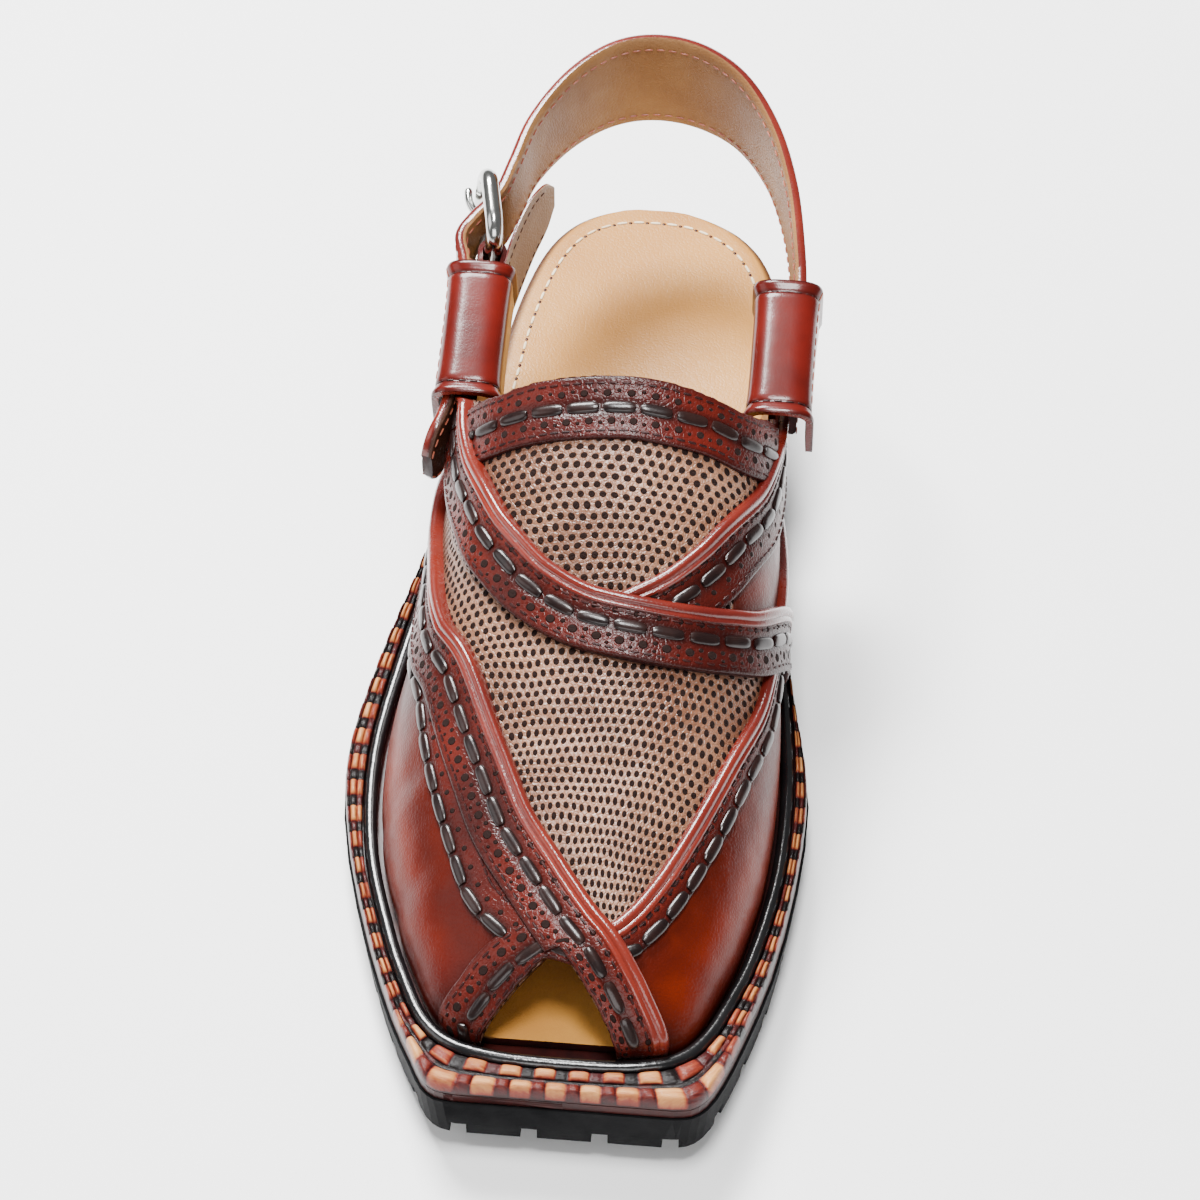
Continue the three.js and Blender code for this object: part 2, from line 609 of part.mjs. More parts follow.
// The line of the rand in plan, round the foot of the upper: lateral side, toe, medial side
function randLine() {
  const start = 0.17;
  const sideShares = samples(26, start, 0.985);
  const foot = [
    ...sideShares.map((s) => footPoint(-1, s)),
    ...samples(4, -0.55, 0.55).map((a) => new THREE.Vector2(lastPoint(a, 1).x, lastPoint(a, 1).y)),
    ...sideShares.map((s) => footPoint(1, s)).reverse(),
  ];
  const line = offsetChain(foot, RAND_RADIUS + 4 * GAP);
  const curve = new THREE.SplineCurve(line);
  return curve.getSpacedPoints(Math.round(curve.getLength() / (WRAP_PITCH / 3)));
}

function makeRand(line) {
  const path = line.filter((_, i) => i % 3 === 0).map((p) => vec(p.x, p.y, midsoleTop(p.y) + GAP + RAND_RADIUS + 1));
  return tube(roundRings(path, RAND_RADIUS, 6, vec(0, 0, 1)));
}

// How far the sole's edge lies from a plan point, straight outwards
function reachToOutline(point, outward) {
  const chain = perimeter(0.2, 1, 90);
  let reach = Infinity;
  for (let i = 1; i < chain.length; i += 1) {
    const a = chain[i - 1];
    const edge = chain[i].clone().sub(a);
    const det = outward.x * -edge.y + outward.y * edge.x;
    if (Math.abs(det) < 1e-9) continue;
    const dx = a.x - point.x;
    const dy = a.y - point.y;
    const distance = (dx * -edge.y + dy * edge.x) / det;
    const share = (outward.x * dy - outward.y * dx) / det;
    if (distance > 0 && share >= 0 && share <= 1) reach = Math.min(reach, distance);
  }
  return reach;
}

// The welt's section, from the foot of its outer edge to the foot of its inner edge: share of the width, share of
// the height, and the row of wraps there (0 for none)
const WELT_SECTION = [
  [0, 0, 0],
  [0, 0.7, 0],
  [0.14, 1, 1],
  [0.42, 1, 1],
  [0.52, 0.72, 0],
  [0.84, 1, 2],
  [1, 0, 0],
];

// Two rows of wraps beside each other; the second is a third of a wrap behind the first.
function makeWelt(line) {
  const rings = line.map((point, i) => {
    const before = line[Math.max(i - 1, 0)];
    const after = line[Math.min(i + 1, line.length - 1)];
    const forward = after.clone().sub(before).normalize();
    const outward = new THREE.Vector2(forward.y, -forward.x);
    const near = RAND_RADIUS + GAP;
    const reach = reachToOutline(point, outward) - 2 * GAP;
    return WELT_SECTION.map(([across, height, row]) => {
      const drop = row > 0 && (i + row) % 3 === 0 ? WRAP_STEP : 0;
      const out = reach + (near - reach) * across;
      const x = point.x + outward.x * out;
      const y = point.y + outward.y * out;
      return vec(x, y, midsoleTop(y) + GAP + WELT_HEIGHT * height - drop);
    });
  });
  return tube(rings);
}

// The upper

// Half a section of a strap, from its middle to its edge: share of the half width, height over its step
const PLAIN_HALF = [[0, 0], [0.93, 0], [1, -STRAP_EDGE_DROP]];
const BEADED_HALF = [[0, 0], [0.6, 0], [0.74, BEAD], [0.93, BEAD], [1, -BEAD_EDGE_DROP]];

function strapSection(bead) {
  const half = (side) => (bead === side ? BEADED_HALF : PLAIN_HALF);
  const left = half(-1).slice(1).reverse();
  return [...left.map(([share, height]) => [-share, height]), ...half(1)];
}

function makeStrap({ line, inner, outer, step, bead, fadeStart }) {
  const half = STRAP_WIDTH / 2;
  const across = line.map((row) => row[0]);
  const along = line.map((row) => row[1]);
  const places = samples(5 * (line.length - 1)).map((s) => {
    const place = s * (line.length - 1);
    return [splineValue(across, place), splineValue(along, place)];
  });
  const spaced = [places[0]];
  for (const place of places) {
    const point = lastPoint(...place);
    const span = point.z - midsoleTop(point.y) < FOOT_HEIGHT ? STRAP_SPAN / 2 : STRAP_SPAN;
    if (point.distanceTo(lastPoint(...spaced[spaced.length - 1])) > span) spaced.push(place);
  }
  spaced[spaced.length - 1] = places[places.length - 1];
  const section = strapSection(bead);
  const tops = [];
  const feet = [];
  spaced.forEach((place, i) => {
    const before = lastPoint(...spaced[Math.max(i - 1, 0)]);
    const after = lastPoint(...spaced[Math.min(i + 1, spaced.length - 1)]);
    const side = lastSlopes(...place).normal.cross(after.sub(before)).normalize();
    const top = [];
    const foot = [];
    for (const [share, height] of section) {
      const reach = share * half * (share < 0 ? inner : outer);
      const spot = walk(place, side, reach);
      const over = lastPoint(...spot).z - midsoleTop(lastPoint(...spot).y);
      const tuck = smoothstep(over, TUCK_START, TUCK_END) * (fadeStart ? clamp(i / 3, 0, 1) : 1);
      const rise = tuck * (step + height) + STRAP_LIFT;
      top.push(offsetPoint(...spot, rise));
      foot.push(offsetPoint(...spot, -0.6 * WALL));
    }
    tops.push(top);
    feet.push(foot);
  });
  return slab(tops, feet);
}

function makePanels() {
  const acrossShares = samples(21, -1.04, 1.04);
  const alongShares = [...samples(20, 0.05, 0.95), 0.975, 1, 1.03];
  const sheet = (offset) => alongShares.map((s) => acrossShares.map((a) => offsetPoint(a, s, offset)));
  return slab(sheet(0), sheet(-WALL));
}

// A prism over an outline in two axes, extruded along the third
function prism(outline, depth, matrix) {
  const shape = new THREE.Shape(outline.map(([x, y]) => new THREE.Vector2(x, y)));
  const geometry = new THREE.ExtrudeGeometry(shape, { depth, bevelEnabled: false });
  geometry.translate(0, 0, -depth / 2);
  return solidOf(geometry.applyMatrix4(matrix));
}

function toeOpeningCutter() {
  const { apex, base, apexSide, lateral, medial } = TOE_OPENING;
  const outline = [
    [apexSide * TOE_WIDTH, apex * LENGTH],
    [lateral * TOE_WIDTH, base * LENGTH],
    [medial * TOE_WIDTH, base * LENGTH],
  ];
  return prism(outline, 4 * FLOOR_BEAM, new THREE.Matrix4());
}

function collarCutter() {
  const outline = COLLAR.map(([along, height]) => [along * LENGTH, height * INSTEP_RISE]);
  outline.push([LENGTH, 0.1 * INSTEP_RISE], [LENGTH, 3 * INSTEP_RISE], [outline[0][0], 3 * INSTEP_RISE]);
  const fromSide = new THREE.Matrix4().makeBasis(vec(0, 1, 0), vec(0, 0, 1), vec(1, 0, 0));
  return prism(outline, 2 * BALL_WIDTH, fromSide);
}

function soleCutter() {
  const along = samples(40, -0.6, 0.6).map((share) => share * LENGTH);
  const sheet = (heightAt) =>
    along.map((y) => [-1, 1].map((side) => vec(side * BALL_WIDTH, y, heightAt(y))));
  return solidOf(slab(sheet((y) => midsoleTop(y) + GAP), sheet(() => -FLOOR_BEAM)));
}

function makeUpper() {
  const panels = solidOf(makePanels()).subtract(toeOpeningCutter());
  const straps = Object.values(STRAPS).map((strap) => solidOf(makeStrap(strap)));
  const whole = joined([panels, ...straps]);
  return geometryOf(whole.subtract(collarCutter()).subtract(soleCutter()));
}

// Heel strap, sleeves and buckle

const heelPoint = (across, along) => vec(across * HALF_BALL, along * LENGTH, 0);

// A strip on edge along a plan path: rows of [across, along, top drop, height]
function standingStrip(rows, thickness, count) {
  const value = (column, place) =>
    splineValue(
      rows.map((row) => row[column]),
      place,
    );
  const at = (place) => heelPoint(value(0, place), value(1, place));
  const outerRows = [];
  const innerRows = [];
  for (const place of samples(count, 0, rows.length - 1)) {
    const point = at(place);
    const forward = at(Math.min(place + 0.05, rows.length - 1))
      .sub(at(Math.max(place - 0.05, 0)))
      .normalize();
    const side = vec(forward.y, -forward.x, 0);
    const top = strapTop(point.y) - value(2, place);
    const height = value(3, place);
    const column = (share, out) =>
      point
        .clone()
        .addScaledVector(side, out * thickness)
        .setZ(top - share * height);
    outerRows.push([column(0, -0.15), column(0.05, -0.5), column(0.95, -0.5), column(1, -0.15)]);
    innerRows.push([column(0, 0.15), column(0.05, 0.5), column(0.95, 0.5), column(1, 0.15)]);
  }
  return slab(outerRows, innerRows);
}

// Frame of the buckle: its middle, its direction towards the heel and its direction up
const BUCKLE_MIDDLE = vec(-0.6 * HALF_BALL, 0.2955 * LENGTH, 0);
BUCKLE_MIDDLE.z = strapTop(BUCKLE_MIDDLE.y) - 0.31 * HEEL_STRAP_HEIGHT;
const BUCKLE_BACK = vec(-0.2, 1, STRAP_SLOPE).normalize();
const BUCKLE_UP = vec(0.09, 0, 1).addScaledVector(BUCKLE_BACK, -BUCKLE_BACK.z).normalize();
const BUCKLE_OUT = BUCKLE_UP.clone().cross(BUCKLE_BACK).normalize();

const bucklePoint = (back, up, out = 0) =>
  BUCKLE_MIDDLE.clone()
    .addScaledVector(BUCKLE_BACK, back)
    .addScaledVector(BUCKLE_UP, up)
    .addScaledVector(BUCKLE_OUT, out);

const BAR_BACK = (BUCKLE_LENGTH - BUCKLE_WIRE) / 2;
const BAR_UP = (BUCKLE_HEIGHT - BUCKLE_WIRE) / 2;

function makeBuckleFrame() {
  const corner = BUCKLE_CORNER;
  const arcSteps = 4;
  const path = [];
  for (const [signBack, signUp, from] of [[1, 1, 0], [-1, 1, 1], [-1, -1, 2], [1, -1, 3]])
    for (const u of samples(arcSteps)) {
      const angle = ((from + u) * Math.PI) / 2;
      path.push(
        bucklePoint(
          signBack * (BAR_BACK - corner) + corner * Math.cos(angle),
          signUp * (BAR_UP - corner) + corner * Math.sin(angle),
        ),
      );
    }
  return tube(roundRings(path, BUCKLE_WIRE / 2, 8, BUCKLE_OUT, true), true);
}

// The prong's line: round the front bar, through the strap and over the outer side of the rear bar
function prongPath(radius) {
  const loop = BUCKLE_WIRE / 2 + GAP + radius;
  const path = samples(9, 1.1, -0.62).map((turn) => {
    const angle = Math.PI * turn;
    return bucklePoint(-BAR_BACK - loop * Math.cos(angle), 0, -loop * Math.sin(angle));
  });
  for (const [back, out] of [[0, 0.2 * loop], [BAR_BACK - PRONG_RISE, loop], [BAR_BACK + PRONG_REACH, loop]])
    path.push(bucklePoint(back, 0, out));
  return path;
}

const makeProng = () => tube(roundRings(prongPath(PRONG_RADIUS), PRONG_RADIUS, 8, BUCKLE_UP));

function prongClearance() {
  return solidOf(tube(roundRings(prongPath(PRONG_RADIUS).slice(8), PRONG_RADIUS + GAP, 8, BUCKLE_UP)));
}

// A leather fold round the front bar, with a slot for the prong
function makeChape() {
  const inner = BUCKLE_WIRE / 2 + GAP;
  const outer = inner + CHAPE_THICKNESS;
  const pinch = CHAPE_PINCH;
  const turn = -CHAPE_LEG * (BUCKLE_BACK.x / BUCKLE_BACK.y);
  const arc = (radius, from, to) =>
    samples(8, from, to).map((share) => [radius * Math.cos(Math.PI * share), radius * Math.sin(Math.PI * share)]);
  const outline = [
    [-CHAPE_LEG, turn + pinch - outer],
    ...arc(outer, -0.5, 0.5),
    [-CHAPE_LEG, turn + outer - pinch],
    [-CHAPE_LEG, turn + inner - pinch],
    ...arc(inner, 0.5, -0.5),
    [-CHAPE_LEG, turn + pinch - inner],
  ];
  const frame = new THREE.Matrix4().makeBasis(BUCKLE_BACK, BUCKLE_OUT, BUCKLE_UP);
  frame.setPosition(bucklePoint(-BAR_BACK, 0));
  const slot = new THREE.BoxGeometry(6 * outer, 6 * outer, 2 * PRONG_RADIUS + 4 * GAP)
    .translate(1.4 * outer, 0, 0)
    .applyMatrix4(frame);
  return geometryOf(prism(outline, CHAPE_HEIGHT, frame).subtract(solidOf(slot)));
}

// An arch from its right foot to its left foot, squarer than an ellipse
function archPoints(halfWidth, height) {
  const squareness = 0.6;
  const bend = (value) => Math.sign(value) * Math.abs(value) ** squareness;
  return samples(10).map((turn) => {
    const angle = Math.PI * turn;
    return [halfWidth * bend(Math.cos(angle)), height * bend(Math.sin(angle))];
  });
}

// A sleeve: an upturned U of leather over the wing, swept towards the heel. side is -1 lateral or 1 medial.
function makeSleeve(side, middle) {
  const outer = SLEEVE_WIDTH / 2;
  const inner = outer - SLEEVE_WALL;
  const rightLeg = side > 0 ? SLEEVE_OUTER_LEG : SLEEVE_INNER_LEG;
  const leftLeg = side > 0 ? SLEEVE_INNER_LEG : SLEEVE_OUTER_LEG;
  const outline = [
    [outer, -rightLeg],
    ...archPoints(outer, SLEEVE_ARCH + SLEEVE_WALL),
    [-outer, -leftLeg],
    [-inner, -leftLeg],
    ...archPoints(inner, SLEEVE_ARCH).reverse(),
    [inner, -rightLeg],
  ];
  const right = vec(1, 0, 0);
  const back = vec(0, 1, STRAP_SLOPE).normalize();
  const frame = new THREE.Matrix4().makeBasis(right, right.clone().cross(back), back.clone().negate());
  const half = SLEEVE_FRONT + SLEEVE_LENGTH / 2;
  frame.setPosition(middle, half, strapTop(half) + SLEEVE_ROOM - SLEEVE_ARCH);
  return geometryOf(prism(outline, SLEEVE_LENGTH, frame));
}

// Materials

const leather = (color, roughness) => new THREE.MeshStandardMaterial({ color, roughness, metalness: 0 });
const redLeather = leather(0x7a2417, 0.38);
const tanLeather = leather(0xc89a66, 0.6);
const blackRubber = leather(0x17171a, 0.75);
const braid = leather(0x8a5a3c, 0.45);
const blackCord = leather(0x0d0d0f, 0.25);
const edgeLeather = leather(0x4a1a12, 0.5);
const steel = new THREE.MeshStandardMaterial({ color: 0xc9ccd0, roughness: 0.18, metalness: 1 });

// The assembly

const chappal = new THREE.Group();
chappal.name = "chappal";

function addPiece(name, geometry, material) {
  const mesh = new THREE.Mesh(geometry, material);
  mesh.name = name;
  chappal.add(mesh);
}

const randPath = randLine();
addPiece("outsole", makeOutsole(), blackRubber);
addPiece("midsole", makeMidsole(), edgeLeather);
addPiece("insole", makeInsole(), tanLeather);
addPiece("welt", makeWelt(randPath), braid);
addPiece("rand", makeRand(randPath), blackCord);
addPiece("upper", makeUpper(), redLeather);

const strapRows = HEEL_STRAP.map(([across, along, height]) => [across, along, 0, height * HEEL_STRAP_HEIGHT]);
const strap = solidOf(standingStrip(strapRows, STRAP_THICKNESS, 33)).subtract(prongClearance());
addPiece("heel_strap", geometryOf(strap), redLeather);
const tabRows = TAB.map(([across, along, top, bottom]) => [
  across,
  along,
  top * TAB_HEIGHT,
  (bottom - top) * TAB_HEIGHT,
]);
addPiece("comfort_tab", standingStrip(tabRows, TAB_THICKNESS, 14), tanLeather);
addPiece("sleeve_lateral", makeSleeve(-1, -0.589 * HALF_BALL), redLeather);
addPiece("sleeve_medial", makeSleeve(1, 0.757 * HALF_BALL), redLeather);
addPiece("chape", makeChape(), redLeather);
addPiece("buckle_frame", makeBuckleFrame(), steel);
addPiece("buckle_prong", makeProng(), steel);

export default chappal;
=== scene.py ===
"""Looks of a leather chappal for the right foot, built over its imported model.

Lengths in this file are millimetres until a mesh is made. The toe points to -Y, the medial side to +X, and +Z
is up.
"""

from __future__ import annotations

import logging
from dataclasses import dataclass, field
from enum import Enum

import bpy
import numpy as np
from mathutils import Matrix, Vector


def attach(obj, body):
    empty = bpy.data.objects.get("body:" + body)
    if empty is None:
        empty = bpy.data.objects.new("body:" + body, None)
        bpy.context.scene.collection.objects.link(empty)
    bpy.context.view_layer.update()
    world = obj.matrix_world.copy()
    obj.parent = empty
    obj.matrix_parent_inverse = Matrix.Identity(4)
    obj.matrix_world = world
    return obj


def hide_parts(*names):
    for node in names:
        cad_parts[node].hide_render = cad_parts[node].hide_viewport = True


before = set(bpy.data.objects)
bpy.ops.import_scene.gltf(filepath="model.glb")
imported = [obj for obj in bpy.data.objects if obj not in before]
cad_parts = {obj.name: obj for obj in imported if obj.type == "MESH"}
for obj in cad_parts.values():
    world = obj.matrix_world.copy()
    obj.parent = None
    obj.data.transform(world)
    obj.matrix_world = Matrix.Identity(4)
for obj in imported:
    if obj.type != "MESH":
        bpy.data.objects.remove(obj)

Array = np.ndarray
Direction = Array | tuple[float, float, float]
Socket = bpy.types.NodeSocket
LOG = logging.getLogger("chappal")
MM = 0.001
SEED = 11
UPWARDS = (0.0, 0.0, 1.0)

# Sizes of the shoe

LENGTH = 290.0
HALF_BALL = 59.0
HALF_HEEL = 37.2
HALF_TOE = 34.0
TOE_WIDTH = 68.0
FOREFOOT_RUBBER = 12.6
HEEL_RUBBER = 30.0
TOE_SPRING = 6.5
GAP = 0.3
MIDSOLE = 2.7
INSOLE = 2.7
INSTEP_RISE = 79.0
WALL = 2.0
STRAP_WIDTH = 16.4
WELT_HEIGHT = 4.6
WRAP_PITCH = 8.0
RAND_RADIUS = 1.75
STRAP_THICKNESS = 3.4
HEEL_STRAP_HEIGHT = 30.0
STRAP_TOP = 77.0
STRAP_BACK_TOP = 104.0
SLEEVE_FRONT = 29.5
SLEEVE_LENGTH = 39.0
SLEEVE_WIDTH = 17.0
SLEEVE_WALL = 1.6
SLEEVE_OUTER_LEG = 13.0
SLEEVE_INNER_LEG = 9.0
SLEEVE_ARCH = 5.0
SLEEVE_ROOM = 1.8
TAB_THICKNESS = 1.3
TAB_HEIGHT = 25.0
BUCKLE_LENGTH = 25.0
BUCKLE_HEIGHT = 33.0
BUCKLE_WIRE = 4.6
PRONG_RADIUS = 1.1
CHAPE_THICKNESS = 1.2
CHAPE_HEIGHT = 12.0
CHAPE_LEG = 10.0
CHAPE_PINCH = 1.2
BUCKLE_CORNER = 6.0
PRONG_RISE = 2.0
PRONG_REACH = 3.0

# Places that follow from the sizes

STRAP_BACK = 0.482 * LENGTH
STRAP_SLOPE = (STRAP_BACK_TOP - STRAP_TOP) / (STRAP_BACK - SLEEVE_FRONT)
SLEEVE_LATERAL = -0.589 * HALF_BALL
SLEEVE_MEDIAL = 0.757 * HALF_BALL
BUCKLE_ACROSS = -0.6 * HALF_BALL
BUCKLE_ALONG = 0.2955 * LENGTH
BUCKLE_DROP = 0.31 * HEEL_STRAP_HEIGHT

# Top of the rubber: along (of LENGTH), share of the rise to the heel, share of the toe spring
PLATFORM = np.array([
    (-0.5, 0, 0.9), (-0.414, 0, 0.42), (-0.328, 0, 0.11), (-0.224, 0, 0), (-0.121, 0.01, 0), (0, 0.155, 0),
    (0.103, 0.44, 0), (0.207, 0.73, 0), (0.31, 0.9, 0), (0.414, 0.977, 0), (0.5, 1, 0),
])

# Outline of the sole: along, lateral and medial edge as shares of the half width that acts there
OUTLINE = np.array([
    (0.5, 0, 0.24, HALF_HEEL), (0.4965, -0.16, 0.42, HALF_HEEL), (0.486, -0.35, 0.62, HALF_HEEL),
    (0.469, -0.51, 0.81, HALF_HEEL), (0.441, -0.65, 0.98, HALF_HEEL), (0.4, -0.76, 1.1, HALF_HEEL),
    (0.338, -0.86, 1.14, HALF_HEEL), (0.248, -0.94, 1.13, HALF_HEEL), (0.155, -0.69, 0.755, HALF_BALL),
    (0.062, -0.805, 0.822, HALF_BALL), (-0.041, -0.93, 0.905, HALF_BALL), (-0.145, -1, 1, HALF_BALL),
    (-0.241, -0.935, 0.985, HALF_BALL), (-0.338, -0.795, 0.915, HALF_BALL), (-0.414, -0.655, 0.82, HALF_BALL),
    (-0.46, -0.95, 1.3, HALF_TOE), (-0.4855, -0.84, 1.2, HALF_TOE), (-0.497, -0.73, 1.09, HALF_TOE),
    (-0.5, -0.59, 0.955, HALF_TOE),
])

# Sections of the last, in shares of LENGTH, HALF_BALL and INSTEP_RISE; wall and roof set how full a side is
LAST_COLUMNS = (
    "along", "lateral", "medial", "ridge_along", "ridge_side", "rise", "lean_lateral", "lean_medial",
    "wall", "roof",
)
LAST = np.array([
    (0.276, -0.52, 0.644, 0.255, 0.1, 1.58, 0.06, 0.258, 0.75, 0.75),
    (0.172, -0.585, 0.658, 0.162, 0.11, 1.19, 0.076, 0.284, 0.75, 0.75),
    (0.069, -0.666, 0.708, 0.062, 0.119, 1, 0.042, 0.263, 0.75, 0.72),
    (-0.0276, -0.756, 0.79, -0.031, 0.127, 0.9, -0.085, 0.153, 0.7, 0.66),
    (-0.138, -0.82, 0.854, -0.138, 0.136, 0.696, -0.03, 0.089, 0.64, 0.62),
    (-0.241, -0.78, 0.847, -0.245, 0.144, 0.544, 0.034, 0.068, 0.6, 0.56),
    (-0.331, -0.653, 0.771, -0.338, 0.136, 0.411, 0.068, 0.068, 0.6, 0.55),
    (-0.386, -0.547, 0.686, -0.3966, 0.127, 0.314, 0.059, 0.059, 0.6, 0.55),
    (-0.4224, -0.458, 0.61, -0.4293, 0.11, 0.215, 0.051, 0.051, 0.6, 0.55),
    (-0.443, -0.347, 0.517, -0.4476, 0.102, 0.114, 0.034, 0.034, 0.6, 0.55),
    (-0.4528, -0.17, 0.356, -0.4545, 0.093, 0, 0, 0, 0.6, 0.55),
])

# Collar and wings from the side, front to back: along (of LENGTH), height above the floor (of INSTEP_RISE)
COLLAR = np.array([
    (0.0641, 1.8), (0.0641, 1.2), (0.0655, 1.14), (0.074, 1.075), (0.095, 0.995), (0.107, 0.955),
    (0.225, 1.05), (0.225, 0.82), (0.212, 0.66), (0.19, 0.52), (0.165, 0.4), (0.165, 0.1),
])

# What closes the collar's opening behind: a point under the wings' ends, and two high over the shoe
BEHIND_COLLAR = np.array([(LENGTH, 8.0), (LENGTH, 300.0), (18.6, 300.0)])

# Open toe in plan
OPEN_TOE = np.array([
    (0.034 * TOE_WIDTH, -0.393 * LENGTH - 0.5), (-0.31 * TOE_WIDTH - 1, -0.47 * LENGTH),
    (0.325 * TOE_WIDTH + 1, -0.47 * LENGTH),
])

# Heel strap: across (of HALF_BALL), along (of LENGTH), height (of HEEL_STRAP_HEIGHT)
HEEL_STRAP = np.array([
    (-0.738, 0.056, 0.6), (-0.684, 0.086, 0.6), (-0.659, 0.112, 0.6), (-0.656, 0.16, 0.6),
    (-0.659, 0.232, 0.6), (-0.694, 0.264, 0.61), (-0.649, 0.285, 0.64), (-0.549, 0.312, 0.69),
    (-0.498, 0.345, 0.74), (-0.432, 0.391, 0.82), (-0.296, 0.438, 0.92), (-0.12, 0.4705, 0.985),
    (0.076, 0.4818, 1), (0.29, 0.474, 0.985), (0.485, 0.446, 0.92), (0.637, 0.397, 0.82),
    (0.735, 0.338, 0.74), (0.788, 0.276, 0.66), (0.81, 0.228, 0.6), (0.81, 0.17, 0.6), (0.81, 0.134, 0.6),
])

# Comfort tab: across (of HALF_BALL), along (of LENGTH), top and bottom (of TAB_HEIGHT, from its top)
TAB = np.array([
    (-0.492, 0.12, 0.42, 0.9), (-0.492, 0.2, 0.2, 0.95), (-0.489, 0.24, 0.06, 1), (-0.463, 0.266, 0, 0.98),
    (-0.41, 0.303, 0.02, 0.9), (-0.356, 0.328, 0.12, 0.78), (-0.328, 0.34, 0.3, 0.6),
])


# Curves


def spline(values: Array, place: Array) -> Array:
    """A Catmull-Rom curve through evenly spaced values; past the ends the last cubic goes on.

    Args:
        values: the values, one for each whole number.
        place: where the curve is read.

    Returns:
        The curve's values, in the shape of place.
    """
    place = np.asarray(place, float)
    padded = np.concatenate([[2 * values[0] - values[1]], values, [2 * values[-1] - values[-2]]])
    i = np.clip(np.floor(place).astype(int), 0, len(values) - 2)
    u = place - i
    a, b, c, d = padded[i], padded[i + 1], padded[i + 2], padded[i + 3]
    return b + 0.5 * u * (c - a + u * (2 * a - 5 * b + 4 * c - d + u * (3 * (b - c) + d - a)))


def profile(xs: Array, ys: Array, x: Array) -> Array:
    """A cubic through the rows that never overshoots them (harmonic mean of the two slopes at each row).

    Args:
        xs: rising places of the rows.
        ys: the rows' values.
        x: where the profile is read.

    Returns:
        The profile's values.
    """
    x = np.clip(np.asarray(x, float), xs[0], xs[-1])
    slope = np.diff(ys) / np.diff(xs)
    before, after = slope[:-1], slope[1:]
    same = before * after > 0
    inner = np.where(same, 2 * before * after / np.where(same, before + after, 1), 0)
    tangent = np.concatenate([[slope[0]], inner, [slope[-1]]])
    i = np.clip(np.searchsorted(xs, x, side="right") - 1, 0, len(xs) - 2)
    h = xs[i + 1] - xs[i]
    t = (x - xs[i]) / h
    return (
        (2 * t**3 - 3 * t**2 + 1) * ys[i]
        + (t**3 - 2 * t**2 + t) * h * tangent[i]
        + (3 * t**2 - 2 * t**3) * ys[i + 1]
        + (t**3 - t**2) * h * tangent[i + 1]
    )


def smoothstep(x: Array, low: float, high: float) -> Array:
    """A smooth rise from 0 at low to 1 at high: 3t^2 - 2t^3."""
    t = np.clip((np.asarray(x, float) - low) / (high - low), 0, 1)
    return t * t * (3 - 2 * t)


def unit(vectors: Array) -> Array:
    """The vectors at length 1."""
    return vectors / np.maximum(np.linalg.norm(vectors, axis=-1, keepdims=True), 1e-12)


def lengths_along(points: Array) -> Array:
    """Distance travelled at each point of a path, from its first point."""
    return np.concatenate([[0], np.cumsum(np.linalg.norm(np.diff(points, axis=0), axis=1))])


def directions(path: Array) -> Array:
    """Unit directions along a path."""
    return unit(np.gradient(path, axis=0))


def right_of(path: Array) -> Array:
    """Unit directions to the right of a plan path."""
    forward = directions(path)
    return np.stack([forward[:, 1], -forward[:, 0]], axis=1)


def spline_rows(rows: Array, place: Array) -> Array:
    """The spline through each column of a table."""
    return np.stack([spline(column, place) for column in rows.T], axis=-1)


def read_rows(at: Array, places: Array, rows: Array) -> Array:
    """The rows of a table, read on straight lines between their places."""
    return np.stack([np.interp(at, places, column) for column in rows.T], axis=-1)


def resample(points: Array, step: float) -> Array:
    """The path's points again, at even distances of about step."""
    travelled = lengths_along(points)
    count = max(int(round(travelled[-1] / step)), 2)
    return read_rows(np.linspace(0, travelled[-1], count + 1), travelled, points)


def averaged(path: Array, width: int) -> Array:
    """A plan path evened out by a bell over width points, which shortens it by width - 1 points."""
    bell = np.hanning(width) / np.hanning(width).sum()
    return np.stack([np.convolve(column, bell, mode="valid") for column in path.T], axis=1)


def axes_along(forward: Array, up: Direction) -> Array:
    """Three axes as rows for each direction: forward, to its left and upwards."""
    left = unit(np.cross(up, forward))
    return np.stack([forward, left, np.cross(forward, left)], axis=1)


def wire(path: Array, radius: Array | float, up: Direction,
         sides: int, loop: bool = False) -> Array:
    """Circles carried along a path, square to it.

    Args:
        path: middle points.
        radius: one radius, or one for each point.
        up: a direction that the path never takes.
        sides: points in a circle.
        loop: the path's end meets its start.

    Returns:
        Rings of points.
    """
    forward = unit(np.roll(path, -1, axis=0) - np.roll(path, 1, axis=0)) if loop else directions(path)
    right = unit(np.cross(forward, up))
    over = np.cross(right, forward)
    angle = np.linspace(0, 2 * np.pi, sides, endpoint=False)
    size = np.broadcast_to(np.asarray(radius, float), (len(path),))[:, None, None]
    circle = right[:, None] * np.cos(angle)[None, :, None] + over[:, None] * np.sin(angle)[None, :, None]
    return path[:, None] + size * circle


def rubber_top(y: Array) -> Array:
    """Height of the rubber's top at y."""
    share = np.asarray(y, float) / LENGTH
    heel = profile(PLATFORM[:, 0], PLATFORM[:, 1], share)
    toe = profile(PLATFORM[:, 0], PLATFORM[:, 2], share)
    return FOREFOOT_RUBBER + (HEEL_RUBBER - FOREFOOT_RUBBER) * heel + TOE_SPRING * toe


def midsole_top(y: Array) -> Array:
    """Height of the midsole's top at y."""
    return rubber_top(y) + GAP + MIDSOLE


def insole_top(y: Array) -> Array:
    """Height of the insole's top at y."""
    return midsole_top(y) + GAP + INSOLE


def strap_top(y: Array) -> Array:
    """Height of the heel strap's top edge at y: a straight slope."""
    return STRAP_TOP + STRAP_SLOPE * (np.asarray(y, float) - SLEEVE_FRONT)


